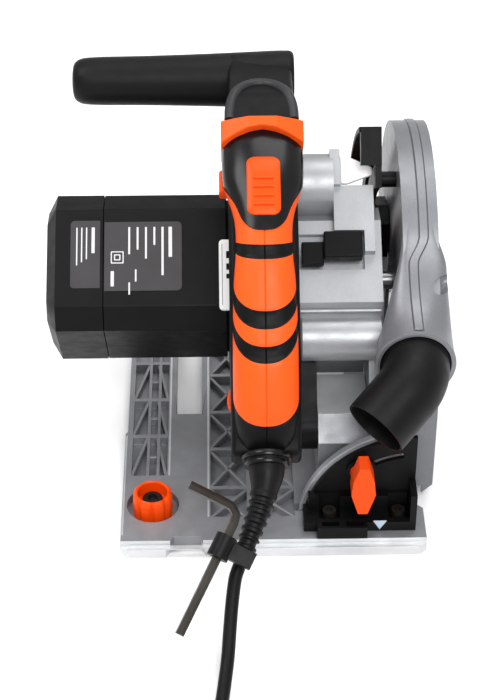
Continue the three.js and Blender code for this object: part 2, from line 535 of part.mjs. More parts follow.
// ---------------------------------------------------------------- output spindle and blade
const SPINDLE_R = 6;
const wheelPhase = GEAR_LINE + Math.PI + Math.PI / GEAR.wheelTeeth;
add(sawUnit, 'spindle_gear', prism('x', spurOutline(SPINDLE.u, SPINDLE.w, GEAR.wheelTeeth, wheelPhase),
  GEAR.left, GEAR.right)
  .subtract(rod('x', SPINDLE.u, SPINDLE.w, SPINDLE_R + 0.1, 0, 80)), STEEL);
add(sawUnit, 'spindle_shaft', rod('x', SPINDLE.u, SPINDLE.w, SPINDLE_R, GEAR.left - 2, 94.8, 20)
  .subtract(rod('x', SPINDLE.u, SPINDLE.w, 3.1, 78, 98, 10)), STEEL);
add(sawUnit, 'spindle_bearing', bearing(SPINDLE.u, SPINDLE.w, 12, SPINDLE_R + 0.1, 57, 66), STEEL);
add(sawUnit, 'inner_flange', pipe('x', SPINDLE.u, SPINDLE.w, 15.5, SPINDLE_R + 0.1, 83.5,
  BLADE.left - GAP), STEEL);
add(sawUnit, 'outer_flange', pipe('x', SPINDLE.u, SPINDLE.w, 15.5, SPINDLE_R + 0.1, BLADE.right + GAP,
  94.8), STEEL);
add(sawUnit, 'blade_bolt', join(rod('x', SPINDLE.u, SPINDLE.w, 3, 82, 96),
  rod('x', SPINDLE.u, SPINDLE.w, 8, 95.1, 98.8, 3)), STEEL);
function sawBlade() {
  const points = [];
  for (let i = 0; i < BLADE.teeth; i += 1) {
    const a = i / BLADE.teeth * Math.PI * 2;
    const step = Math.PI * 2 / BLADE.teeth;
    for (const [r, f] of [[BLADE.radius, 0], [BLADE.radius - 7.5, 0.06], [BLADE.radius - 8, 0.3],
      [BLADE.radius - 3.5, 0.55], [BLADE.radius - 0.8, 0.9]]) {
      points.push([SPINDLE.u + r * Math.cos(a + f * step), SPINDLE.w + r * Math.sin(a + f * step)]);
    }
  }
  return prism('x', outline(points), BLADE.left,
    BLADE.right).subtract(rod('x', SPINDLE.u, SPINDLE.w, SPINDLE_R + 0.1, 80, 100));
}
add(sawUnit, 'blade', sawBlade(), STEEL);

// ---------------------------------------------------------------- gear housing
const BARREL = { left: 16.3, right: 69.5, half: 41, chamfer: 14, u: 94 };
function gearHousing() {
  const barrel = prism('x', octagon(BARREL.u, MOTOR.w, BARREL.half, BARREL.chamfer), BARREL.left,
    BARREL.right);
  const lobe = rod('x', SPINDLE.u, SPINDLE.w, 26.5, 28, 52, 16);
  const arborBoss = rod('x', SPINDLE.u, SPINDLE.w, 15.7, 50, 67.5, 12);
  const cableBoss = rod('x', 147, 42, 20, BARREL.left, 40, 14);
  const cableBossFoot = box(BARREL.left, 40, 127, 155, 10, 42);
  const bossPlate = box(38, 44.5, 141, 165, 20, 58);
  const step = box(40, 65, 98, 142, 30, 54);
  const ear = outline([[0, -12.5], [60, -26], [60, 30], [0, 12.5]]);
  const ears = [[18, 28.3], [61, 67]].map(([a, b]) => prism('x', ear, a,
    b).add(rod('x', 0, 0, 13.5, a, b, 12)));
  const pinBore = rod('x', 0, 0, PIVOT_PIN.radius + 0.05, 10, 80, 16);
  const gearSpace = [rod('x', MOTOR.u, MOTOR.w, 11, 28, 50), rod('x', SPINDLE.u, SPINDLE.w, 25, 31, 49, 16),
    rod('x', MOTOR.u, MOTOR.w, 11.1, BARREL.left - 1, 29), rod('x', SPINDLE.u, SPINDLE.w, 8, 45, 71),
    rod('x', SPINDLE.u, SPINDLE.w, 12.1, 56.7, 71)];
  const lockSeat = box(18, 58.6, 88.5, 112, 42, 60);
  return cut(join(barrel, lobe, arborBoss, cableBoss, cableBossFoot, bossPlate, step, ...ears), pinBore,
    ...gearSpace, lockSeat);
}
add(sawUnit, 'gear_housing', gearHousing(), CAST);

const spindleLock = join(box(19.2, 33, 90, 105, 47.5, 53), box(33, 57, 93.5, 110.5, 47.5, 57),
  box(24, 50, 96, 102, 45, 48));
add(sawUnit, 'spindle_lock', spindleLock, BLACK);
const pointerBody = prism('z', outline([[44.9, 144], [49, 144], [65, 150], [65, 155], [49, 163],
  [44.9, 163]]), 49, 52);
add(sawUnit, 'depth_pointer', pointerBody, WHITE);

// ---------------------------------------------------------------- handle: two shells, two grip inserts,
// collar, front bar
const SPINE = [[-36, 64], [-24, 79], [0, 93], [25, 102.5], [55, 110], [90, 114], [125, 112.5], [150, 108],
  [172, 101]];
const spineCurve = new THREE.SplineCurve(SPINE.map(([u, w]) => new THREE.Vector2(u, w)));
const spinePoints = (t0, t1, count, drop = 0) => Array.from({ length: count + 1 }, (_, i) => {
  const t = t0 + (t1 - t0) * i / count;
  const p = spineCurve.getPoint(t);
  const d = spineCurve.getTangent(t);
  return [p.x + d.y * drop, p.y - d.x * drop];
});
const HAND_HOLE = [[18, 50.5], [140, 50.5], [151, 62], [148, 74], [130, 78], [60, 77], [22, 68], [10, 59]];
const GRIP = { t0: 0.085, t1: 0.62, depth: 13 };
function handleHalf(side) {
  const x = (offset) => HANDLE.seamX + side * offset;
  const loop = [...spinePoints(0, 1, 20), [172, 62], [160, 44], [146, 20], [140, -34], [50, -34], [46, 0],
    [30, 24], [4, 36],
    [-24, 46], [-38, 54]];
  const upper = prism('x', outline(loop), x(0.15), x(HANDLE.gripHalf));
  const lower = prism('x', outline([[46, 0], [50, -34], [140, -34], [146, 20], [152, 48], [40, 48],
    [34, 22]]),
    x(0.15), x(HANDLE.bodyHalf));
  const hole = prism('x', outline(HAND_HOLE), HANDLE.seamX - 40, HANDLE.seamX + 40);
  const gripSeat = prism('x', outline([...spinePoints(GRIP.t0 - 0.004, GRIP.t1 + 0.004, 14, -1),
    ...spinePoints(GRIP.t0 - 0.004, GRIP.t1 + 0.004, 14,
      GRIP.depth + GAP).reverse()]), x(GRIP_CORE), x(40));
  const topSeat = prism('x', outline([...spinePoints(GRIP.t0 - 0.004, GRIP.t1 + 0.004, 14, -1),
    ...spinePoints(GRIP.t0 - 0.004, GRIP.t1 + 0.004, 14, 3 + GAP).reverse()]), x(-1), x(40));
  const shaftBore = rod('x', MOTOR.u, MOTOR.w, 16, -60, 60);
  const hollow = prism('x', octagon(MOTOR.u, MOTOR.w, 34, 14), x(-1), x(HANDLE.bodyHalf - 4));
  const switchPocket = box(-13.2, 3.2, 93, 125, 60, 100);
  const slidePocket = box(-15.4, 5.4, 90, 138, 108, 130);
  const dialPocket = rod('z', -17, 0, 11.5, 58, 66.5);
  const lockPocket = box(-34, -10.9, 122, 137.5, 79.5, 93.5);
  return cut(upper.add(lower), hole, gripSeat, topSeat, shaftBore, hollow, switchPocket, slidePocket,
    dialPocket, lockPocket);
}
const GRIP_CORE = HANDLE.gripHalf - 3.2;
add(sawUnit, 'handle_left', handleHalf(-1), BLACK);
add(sawUnit, 'handle_right', handleHalf(1), BLACK);

function gripHalf(side) {
  const x = (offset) => HANDLE.seamX + side * offset;
  const cap = prism('x', outline([...spinePoints(GRIP.t0, GRIP.t1, 14, -0.5),
    ...spinePoints(GRIP.t0, GRIP.t1, 14, 3).reverse()]),
    x(0.15), x(HANDLE.gripHalf + 1));
  const flank = prism('x', outline([...spinePoints(GRIP.t0, GRIP.t1, 14, 1),
    ...spinePoints(GRIP.t0, GRIP.t1, 14, GRIP.depth).reverse()]),
    x(GRIP_CORE + GAP), x(HANDLE.gripHalf + 1));
  const dialClear = rod('z', -17, 0, 11.5, 50, 66.5);
  return cut(cap.add(flank), box(-15.4, 5.4, 90, 138, 100, 130), dialClear);
}
add(sawUnit, 'grip_left', gripHalf(-1), ORANGE);
add(sawUnit, 'grip_right', gripHalf(1), ORANGE);

const arch = (half, top, shoulder, foot) => [[HANDLE.seamX - half, foot], [HANDLE.seamX - half, shoulder],
  [HANDLE.seamX - 8.5, top],
  [HANDLE.seamX + 8.5, top], [HANDLE.seamX + half, shoulder], [HANDLE.seamX + half, foot]];
const collar = prism('y', outline(arch(25, 114, 107, 78)), 148, 163)
  .subtract(prism('y', outline([[HANDLE.seamX - 17, 60], [HANDLE.seamX - 17, 109.2],
    [HANDLE.seamX + 17, 109.2], [HANDLE.seamX + 17, 60]]), 140, 170));
add(sawUnit, 'front_collar', collar, ORANGE);

function frontHandle() {
  const bar = turned('x', BAR.u, BAR.w, [[0, BAR.left], [9, BAR.left], [BAR.tipRadius - 1.5, BAR.left + 4],
    [BAR.tipRadius, BAR.left + 12], [BAR.rootRadius, BAR.right - 8], [BAR.rootRadius - 2, BAR.right], [0,
      BAR.right]], 20);
  const neck = prism('x', outline([[172.4, 99], [186, 92], [204, 76], [217, 67], [234, 50], [217, 33],
    [190, 40], [172.4, 64]]), -24, 14);
  return bar.add(neck);
}
add(sawUnit, 'front_handle', frontHandle(), BLACK);

add(sawUnit, 'switch_unit', box(-12, 2, 94, 121, 86, 99), BLACK);
const trigger = prism('x', outline([[95, 79], [95, 68], [104, 65], [118, 67], [123, 72], [123, 79]]), -12,
  2);
add(sawUnit, 'trigger', trigger, BLACK);
const slideTop = [[99, 109.5], [137, 109.5], [136, 114.5], [122, 117.5], [101, 118]];
add(sawUnit, 'safety_slide', prism('x', outline(slideTop), -15, 5), ORANGE);
add(sawUnit, 'lock_button', box(-31.5, -15.2, 122.5, 137, 80, 93), ORANGE);
add(sawUnit, 'speed_dial', rod('z', -17, 0, 11, 58.5, 66), ORANGE);

// ---------------------------------------------------------------- strain relief, key holder and hex key
const BOOT = [[-5, -38.6, 62.5], [-5.2, -46, 62.5], [-7.2, -58, 62.4], [-11.6, -72, 62], [-17, -86, 61.5],
  [CORD.exit[0], CORD.exit[1] + GAP, CORD.exit[2]]];
function strainRelief() {
  const body = sweep(BOOT, 6.3, 6, 14);
  const cone = turned('y', -5, 62.5, [[0, -60], [6.5, -60], [9, -52], [11.5, -46], [12.5, -38.6],
    [0, -38.6]], 16);
  return body.add(cone);
}
add(sawUnit, 'strain_relief', strainRelief(), RUBBER);

const B = new THREE.Vector3(...KEY.bend);
const longDir = new THREE.Vector3(...KEY.longArm).normalize();
const shortDir = new THREE.Vector3(...KEY.shortArm);
shortDir.addScaledVector(longDir, -shortDir.dot(longDir));
const shortLength = 32.5;
shortDir.normalize();
const keyRadius = KEY.flats / Math.sqrt(3);
function hexKey() {
  const bendR = 7;
  const points = [];
  const at = (s, l) => B.clone().addScaledVector(shortDir, s).addScaledVector(longDir, l).toArray();
  for (const s of [shortLength, shortLength * 0.66, shortLength * 0.33]) points.push(at(s, 0));
  for (let i = 0; i <= 4; i += 1) {
    const a = i / 4 * Math.PI / 2;
    points.push(at(bendR * (1 - Math.sin(a)), bendR * (1 - Math.cos(a))));
  }
  for (const l of [0.3, 0.6, 1]) points.push(at(0, KEY.longLength * l));
  return sweep(points, keyRadius, 3, 20);
}
add(saw, 'hex_key', hexKey(), BLACKENED);

// Rubber clip: an eye round the key's long arm on a short link to the strain relief.
function keyHolder() {
  const frame = new THREE.Matrix4().makeBasis(shortDir,
    new THREE.Vector3().crossVectors(longDir, shortDir), longDir);
  const mid = B.clone().addScaledVector(longDir, 24);
  frame.setPosition(mid);
  const eye = rod('z', 0, 0, 6.4, -7, 7, 16).subtract(rod('z', 0, 0, keyRadius + 0.35, -8, 8, 16));
  const link = box(-20, -5, -3, 3, -5, 5);
  return eye.add(link).transform(frame.elements);
}
add(saw, 'key_holder', keyHolder(), RUBBER);

// ---------------------------------------------------------------- cord, coil, tie and plug
const cordExit = unitToWorld([CORD.exit[1], CORD.exit[2]]);
const CORD_ROUTE = [[CORD.exit[0], cordExit[0] - GAP, cordExit[1] - GAP], [-24.3, -210, 41],
  [-26.5, -222, 32.6], [-28.1, -236, 23],
  [-29.5, -250, 14.5], [-31.4, -263, 8.6], [-33.3, -276, 5.2], [-35, -290, 4.3], [-35.6, -304,
    4.3], [-35.2, -313.5, 4.3]];
add(saw, 'cord_run', sweep(CORD_ROUTE, CORD.radius, 5, 18), RUBBER);

const coilRound = 5;
const coilProfile = [[COIL.meanR - COIL.halfWidth, COIL.bottom + coilRound],
  [COIL.meanR - COIL.halfWidth + coilRound, COIL.bottom],
  [COIL.meanR + COIL.halfWidth - coilRound, COIL.bottom], [COIL.meanR + COIL.halfWidth,
    COIL.bottom + coilRound],
  [COIL.meanR + COIL.halfWidth, COIL.top - coilRound], [COIL.meanR + COIL.halfWidth - coilRound, COIL.top],
  [COIL.meanR - COIL.halfWidth + coilRound, COIL.top], [COIL.meanR - COIL.halfWidth, COIL.top - coilRound],
  [COIL.meanR - COIL.halfWidth, COIL.bottom + coilRound]];
add(saw, 'cord_coil', turned('z', COIL.x, COIL.y, coilProfile, 32), RUBBER);

// The tie goes round the ring on its -X side.
const tieGap = 0.5;
const tieX = [COIL.x - COIL.meanR - COIL.halfWidth - tieGap, COIL.x - COIL.meanR + COIL.halfWidth + tieGap];
add(saw, 'cord_tie', box(tieX[0] - 0.9, tieX[1] + 0.9, COIL.y - 4, COIL.y + 4, 0.1, COIL.top + 1.3)
  .subtract(box(tieX[0], tieX[1], COIL.y - 5, COIL.y + 5, 1.1, COIL.top + GAP)), RUBBER);

// Two-pin plug lying on the coil, with its pins towards +Y.
const PLUG = { aside: 33, sleeveEnd: -11, sleeve: 17, body: 30, pin: 19, half: 8 };
function plug() {
  const x = COIL.x + PLUG.aside;
  const z = COIL.top + GAP + PLUG.half;
  const sleeveEnd = COIL.y + PLUG.sleeveEnd;
  const bodyStart = sleeveEnd + PLUG.sleeve - 1;
  const bodyEnd = bodyStart + PLUG.body;
  const body = prism('y', outline([[x - 17, z - 4], [x - 13, z - 8], [x + 13, z - 8], [x + 17, z - 4],
    [x + 17, z + 4],
    [x + 13, z + 8], [x - 13, z + 8], [x - 17, z + 4]]), bodyStart, bodyEnd);
  const sleeve = turned('y', x, z, [[0, sleeveEnd], [5, sleeveEnd], [7.5, bodyStart + 1],
    [0, bodyStart + 1]], 16);
  const pins = [-9.5, 9.5].map((dx) => rod('y', x + dx, z, 2.3, bodyEnd - 1, bodyEnd + PLUG.pin, 6));
  return join(body, sleeve, ...pins);
}
add(saw, 'plug', plug(), RUBBER);

export default saw;
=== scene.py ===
"""Looks of a track plunge saw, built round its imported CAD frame.

Lengths are in millimetres until a mesh is made, and metres after that. Most pieces are drawn in the
saw unit's own frame (x, u, w): u forward and w up from the plunge axis, nose raised by 35 degrees.
"""
import json
import math

import bmesh
import bpy
from mathutils import Matrix, Vector
from mathutils.bvhtree import BVHTree


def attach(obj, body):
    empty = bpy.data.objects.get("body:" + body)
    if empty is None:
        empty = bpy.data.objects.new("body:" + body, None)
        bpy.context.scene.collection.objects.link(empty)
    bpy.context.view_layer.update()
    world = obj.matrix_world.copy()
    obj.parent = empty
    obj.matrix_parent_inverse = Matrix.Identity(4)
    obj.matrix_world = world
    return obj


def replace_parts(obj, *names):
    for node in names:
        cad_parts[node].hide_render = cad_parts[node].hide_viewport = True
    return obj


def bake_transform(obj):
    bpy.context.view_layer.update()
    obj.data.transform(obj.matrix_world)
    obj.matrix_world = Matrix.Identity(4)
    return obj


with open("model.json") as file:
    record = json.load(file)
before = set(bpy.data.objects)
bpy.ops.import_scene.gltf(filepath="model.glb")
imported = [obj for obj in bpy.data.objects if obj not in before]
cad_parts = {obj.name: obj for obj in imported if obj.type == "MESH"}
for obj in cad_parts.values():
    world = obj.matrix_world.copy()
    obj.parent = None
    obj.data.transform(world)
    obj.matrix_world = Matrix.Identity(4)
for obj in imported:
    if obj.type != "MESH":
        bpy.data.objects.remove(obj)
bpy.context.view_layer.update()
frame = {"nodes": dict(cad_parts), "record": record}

MM = 0.001
JOINTS = {joint["name"]: joint for joint in frame["record"]["behaviour"]["joints"]}
PIVOT = Vector(JOINTS["plunge"]["pos_m"]) / MM
PLUNGE = math.radians(JOINTS["plunge"]["range_deg"][0])
ARBOR = Vector(JOINTS["blade_spin"]["pos_m"]) / MM
RAISED = math.radians(35)
UNIT = Matrix.Translation(PIVOT) @ Matrix.Rotation(RAISED, 4, "X")
WORLD = Matrix.Identity(4)
SEAM_X = -5
BODY_OF = {node: body for body, nodes in frame["record"]["behaviour"]["bodies"].items() for node in nodes}
SLOT_OF = {part["node"]: part["material_slot"] for part in frame["record"]["subparts"]}

CAMERA = {"place": (-0.0313, -1.017, 0.827), "pitch": 52.5, "yaw": -1.07, "lens": 98.7, "sensor": 36}
LIT_POINT = Vector((0, 0, 0.1))
# name, place in m, diameter in m, watts
LIGHTS = [
    ("key", (-0.9, -0.1, 1.6), 0.9, 13),
    ("top", (0.3, 0.5, 1.7), 1.1, 11),
    ("fill", (0.3, -1.35, 1.5), 1.0, 24),
]
WORLD_STRENGTH = 0.7


# ---------------------------------------------------------------- camera, floor and light
def add_object(name, data):
    obj = bpy.data.objects.new(name, data)
    bpy.context.scene.collection.objects.link(obj)
    return obj


def make_camera():
    data = bpy.data.cameras.new("camera")
    data.sensor_width = CAMERA["sensor"]
    data.lens = CAMERA["lens"]
    data.clip_end = 20
    camera = add_object("camera", data)
    camera.location = CAMERA["place"]
    camera.rotation_euler = (math.radians(CAMERA["pitch"]), 0, math.radians(CAMERA["yaw"]))
    bpy.context.scene.camera = camera


def area_light(name, location, size, power):
    data = bpy.data.lights.new(name, "AREA")
    data.shape = "DISK"
    data.size = size
    data.energy = power
    light = add_object(name, data)
    light.location = location
    light.rotation_euler = (LIT_POINT - Vector(location)).to_track_quat("-Z", "Y").to_euler()


def make_studio():
    scene = bpy.context.scene
    scene.view_settings.view_transform = "Standard"
    world = bpy.data.worlds.new("studio")
    world.use_nodes = True
    background = world.node_tree.nodes["Background"]
    background.inputs["Color"].default_value = (1, 1, 1, 1)
    background.inputs["Strength"].default_value = WORLD_STRENGTH
    scene.world = world
    for name, location, size, power in LIGHTS:
        area_light(name, location, size, power)
    bpy.ops.mesh.primitive_plane_add(size=12, location=(0, 0, 0))
    floor = bpy.context.object
    floor.name = "studio_floor"
    paper = surface("floor_paper", (0.93, 0.93, 0.93), 0.9, grain=0, mottle=0, shine=0.1)
    floor.data.materials.append(paper)


# ---------------------------------------------------------------- materials
CLOUD_MM = 22
WEAR_MM = 9
FLECKS_PER_M = 1400


def surface(name, color, roughness, metallic=0.0, grain=0.25, grain_size=0.5, mottle=0.08,
            sparkle=0.0, shine=0.5):
    """Moulded or cast surface: grain as bump, mottled colour and roughness, bright metal flecks.

    grain_size is in mm, and mottle is how far the colour strays from its mean."""
    material = bpy.data.materials.new(name)
    material.use_nodes = True
    nodes = material.node_tree.nodes
    links = material.node_tree.links
    shader = nodes["Principled BSDF"]
    shader.inputs["Metallic"].default_value = metallic
    shader.inputs["Specular IOR Level"].default_value = shine
    place = nodes.new("ShaderNodeTexCoord")

    def noise(size_mm, detail):
        texture = nodes.new("ShaderNodeTexNoise")
        texture.inputs["Scale"].default_value = 1000 / size_mm
        texture.inputs["Detail"].default_value = detail
        links.new(place.outputs["Object"], texture.inputs["Vector"])
        return texture.outputs["Fac"]

    def ramp(factor, low, high):
        node = nodes.new("ShaderNodeMapRange")
        node.inputs["From Min"].default_value = 0.3
        node.inputs["From Max"].default_value = 0.7
        node.inputs["To Min"].default_value = low
        node.inputs["To Max"].default_value = high
        links.new(factor, node.inputs["Value"])
        return node.outputs["Result"]

    tint = nodes.new("ShaderNodeMixRGB")
    tint.inputs["Color1"].default_value = (*[c * (1 - mottle) for c in color], 1)
    tint.inputs["Color2"].default_value = (*[min(1, c * (1 + mottle)) for c in color], 1)
    links.new(ramp(noise(CLOUD_MM, 4), 0, 1), tint.inputs["Fac"])
    colour = tint.outputs["Color"]
    if sparkle:
        cells = nodes.new("ShaderNodeTexVoronoi")
        cells.inputs["Scale"].default_value = FLECKS_PER_M
        links.new(place.outputs["Object"], cells.inputs["Vector"])
        fleck = nodes.new("ShaderNodeMapRange")
        fleck.inputs["From Min"].default_value = 0.25
        fleck.inputs["From Max"].default_value = 0.1
        fleck.inputs["To Max"].default_value = sparkle
        links.new(cells.outputs["Distance"], fleck.inputs["Value"])
        bright = nodes.new("ShaderNodeMixRGB")
        bright.inputs["Color2"].default_value = (0.8, 0.81, 0.83, 1)
        links.new(fleck.outputs["Result"], bright.inputs["Fac"])
        links.new(colour, bright.inputs["Color1"])
        colour = bright.outputs["Color"]
    links.new(colour, shader.inputs["Base Color"])
    rough = ramp(noise(WEAR_MM, 5), roughness * 0.85, min(1, roughness * 1.15))
    links.new(rough, shader.inputs["Roughness"])
    if grain:
        bump = nodes.new("ShaderNodeBump")
        bump.inputs["Strength"].default_value = grain
        bump.inputs["Distance"].default_value = 0.0002
        links.new(noise(grain_size, 3), bump.inputs["Height"])
        links.new(bump.outputs["Normal"], shader.inputs["Normal"])
    return material


LOOKS = {
    "orange": surface("orange_abs", (0.90, 0.085, 0.006), 0.42, grain=0.12, grain_size=0.35, mottle=0.04,
                      shine=0.2),
    "orange_knob": surface("orange_knob", (0.86, 0.066, 0.001), 0.36, grain=0.08, mottle=0.04, shine=0.16),
    "black": surface("black_nylon", (0.0038, 0.0038, 0.0042), 0.44, grain=0.35, grain_size=0.45,
                     mottle=0.2, shine=0.11),
    "black_gloss": surface("black_polished", (0.0035, 0.0035, 0.004), 0.24, grain=0.05, mottle=0.15,
                           shine=0.26),
    "black_soft": surface("black_overmould", (0.0042, 0.0042, 0.0045), 0.46, grain=0.3, grain_size=0.3,
                          mottle=0.15, shine=0.14),
    "rubber": surface("rubber", (0.004, 0.004, 0.004), 0.46, grain_size=0.6, mottle=0.2, shine=0.14),
    "silver": surface("silver_casting", (0.36, 0.37, 0.385), 0.42, metallic=0.5, grain=0.45,
                      grain_size=0.7, mottle=0.06, sparkle=0.4),
    "silver_paint": surface("silver_paint", (0.175, 0.18, 0.193), 0.4, metallic=0.4, mottle=0.04,
                            sparkle=0.2),
    "alloy": surface("base_alloy", (0.27, 0.275, 0.29), 0.44, metallic=0.5, grain=0.45, grain_size=0.8,
                     mottle=0.1, sparkle=0.2),
    # bright alloy of the machined edge strips, also used as painted light on the frame casting's shaded top
    "machined_and_painted_light": surface("machined_alloy_and_painted_light", (0.62, 0.63, 0.64), 0.36, metallic=0.5, grain=0.2,
                        grain_size=0.4),
    "steel": surface("ground_steel", (0.55, 0.55, 0.55), 0.3, metallic=1, grain=0.2, grain_size=0.3),
    "dark_steel": surface("blackened_steel", (0.030, 0.025, 0.021), 0.34, metallic=0.6, grain=0.2,
                          grain_size=0.4, mottle=0.25),
    "copper": surface("copper", (0.55, 0.24, 0.12), 0.35, metallic=1, grain=0.2),
    "brass": surface("brass", (0.45, 0.33, 0.18), 0.35, metallic=0.9, grain=0.2),
    "iron": surface("laminations", (0.12, 0.12, 0.13), 0.5, metallic=0.7, grain=0.4),
    "white": surface("white_abs", (0.86, 0.86, 0.85), 0.35, grain=0.1, mottle=0.02),
    "label": surface("label_foil", (0.036, 0.034, 0.036), 0.5, metallic=0.2, grain=0.15, grain_size=0.3,
                     shine=0.3),
    "rib_black": surface("rib_black", (0.022, 0.022, 0.024), 0.45, grain=0.2, mottle=0.1, shine=0.3),
    "print": surface("label_print", (0.55, 0.55, 0.56), 0.5, grain=0.05, mottle=0.03),
    "print_blue": surface("pale_blue_print", (0.45, 0.55, 0.66), 0.5, grain=0.05, mottle=0.03),
    # dark colour of the band's grooves: painted shade in the recess
    "painted_groove_shade": surface("painted_groove_shade", (0.07, 0.07, 0.075), 0.5, metallic=0.3, grain=0.1),
    "cavity": surface("cavity", (0.006, 0.006, 0.006), 0.7, grain=0.2, shine=0.15),
}
SLOT_LOOK = {
    "cast_alloy": "silver", "base_alloy": "alloy", "black_plastic": "black", "black_rubber": "rubber",
    "orange_plastic": "orange_knob", "orange_grip": "orange", "steel": "steel", "copper": "copper",
    "blackened_steel": "dark_steel", "laminated_iron": "iron", "pointer_white": "white",
}


# ---------------------------------------------------------------- making pieces
CRISP_ANGLE = 30
FLAT_ANGLE = 1.5
WELD = 0.02


def shade(mesh, sharp=None):
    """Smooth shading, with edges crisp from the given angle in degrees."""
    mesh.polygons.foreach_set("use_smooth", [True] * len(mesh.polygons))
    if sharp:
        mesh.set_sharp_from_angle(angle=math.radians(sharp))


def make(name, verts, faces, look, body, slot, space=WORLD, sharp=38, looks=None, face_looks=None):
    """A mesh piece from vertices in mm.

    sharp is the edge angle in degrees from which edges stay crisp. A piece of several looks names them
    in looks, and face_looks gives each face its place in that list."""
    mesh = bpy.data.meshes.new(name)
    mesh.from_pydata([(space @ Vector(v)) * MM for v in verts], [], faces)
    bm = bmesh.new()
    bm.from_mesh(mesh)
    bmesh.ops.recalc_face_normals(bm, faces=bm.faces)
    bm.to_mesh(mesh)
    bm.free()
    obj = add_object(name, mesh)
    for look_name in looks or [look]:
        mesh.materials.append(LOOKS[look_name])
    if face_looks:
        mesh.polygons.foreach_set("material_index", face_looks)
    shade(mesh, sharp)
    if body:
        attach(obj, body)
    return obj


def soften(obj, width, segments=3, angle=CRISP_ANGLE):
    """Rounds every edge sharper than angle degrees by width mm."""
    mesh = obj.data
    for edge in mesh.edges:
        edge.use_edge_sharp = False
    bevel = obj.modifiers.new("edges", "BEVEL")
    bevel.width = width * MM
    bevel.segments = segments
    bevel.limit_method = "ANGLE"
    bevel.angle_limit = math.radians(angle)
    bevel.use_clamp_overlap = True
    bevel.miter_outer = "MITER_ARC"
    normals = obj.modifiers.new("normals", "WEIGHTED_NORMAL")
    normals.keep_sharp = True
    return obj


def refined(node, width, look=None, patch=None, flatten=True):
    """The CAD node's own shape with edges rounded by width mm and its finish.

    patch is (look, test): faces whose centre in mm passes the test take that look instead."""
    bm = bmesh.new()
    bm.from_mesh(frame["nodes"][node].data)
    bmesh.ops.remove_doubles(bm, verts=bm.verts, dist=WELD * MM)
    if flatten:
        bmesh.ops.dissolve_limit(bm, angle_limit=math.radians(FLAT_ANGLE), verts=bm.verts, edges=bm.edges)
    mesh = bpy.data.meshes.new(node + "_shape")
    bm.to_mesh(mesh)
    bm.free()
    obj = add_object(node + "_shape", mesh)
    mesh.materials.clear()
    mesh.materials.append(LOOKS[look or SLOT_LOOK[SLOT_OF[node]]])
    mesh.polygons.foreach_set("material_index", [0] * len(mesh.polygons))
    if patch:
        mesh.materials.append(LOOKS[patch[0]])
        for face in mesh.polygons:
            face.material_index = 1 if patch[1](face.center / MM) else 0
    if width:
        shade(mesh)
        soften(obj, width)
    else:
        shade(mesh, CRISP_ANGLE)
    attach(obj, BODY_OF[node])
    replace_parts(obj, node)
    return obj


def rings_faces(ring_count, size, close_ends=True, closed=False):
    """Quads that join rings of the same size, with flat ends."""
    faces = []
    for i in range(ring_count if closed else ring_count - 1):
        j = (i + 1) % ring_count
        for k in range(size):
            n = (k + 1) % size
            faces.append((i * size + k, i * size + n, j * size + n, j * size + k))
    if close_ends and not closed:
        faces.append(tuple(range(size - 1, -1, -1)))
        faces.append(tuple(range((ring_count - 1) * size, ring_count * size)))
    return faces


def loft(name, rings, look, body, slot, space=WORLD, close_ends=True, closed=False, **options):
    """A skin over rings of points; closed joins the last ring to the first."""
    verts = [p for ring in rings for p in ring]
    faces = rings_faces(len(rings), len(rings[0]), close_ends, closed)
    return make(name, verts, faces, look, body, slot, space, **options)


def on_axis(axis, station, a, b):
    """Point at a station on an axis; a and b are the other two coordinates in order."""
    return {"x": (station, a, b), "y": (a, station, b), "z": (a, b, station)}[axis]


def prism(name, outline, axis, low, high, look, body, slot, space=WORLD, **options):
    """An outline, given in the other two coordinates in order, between two stations on an axis."""
    rings = [[on_axis(axis, s, a, b) for a, b in outline] for s in (low, high)]
    return loft(name, rings, look, body, slot, space, **options)


def arc(a, b, radius, first, last, steps):
    """Points round (a, b) between two angles in degrees, both ends included."""
    angles = [math.radians(first + (last - first) * i / steps) for i in range(steps + 1)]
    return [(a + radius * math.cos(angle), b + radius * math.sin(angle)) for angle in angles]


def circle(a, b, radius, count):
    return arc(a, b, radius, 0, 360, count)[:-1]


def lathe(name, axis, a, b, profile, look, body, slot, space=WORLD, count=48, **options):
    """Turned shape: profile of (radius, station) pairs round the axis through (a, b)."""
    least = 0.01
    rings = [[on_axis(axis, s, p, q) for p, q in circle(a, b, max(radius, least), count)]
             for radius, s in profile]
    return loft(name, rings, look, body, slot, space, **options)


def grid_faces(rows, columns):
    """Quads of a sheet of points, laid out row by row."""
    return [(a, a + 1, a + columns + 1, a + columns)
            for i in range(rows - 1) for a in range(i * columns, (i + 1) * columns - 1)]


def thicken(obj, thickness):
    """Gives an open sheet a thickness in mm, inwards."""
    skin = obj.modifiers.new("skin", "SOLIDIFY")
    skin.thickness = thickness * MM
    skin.offset = -1


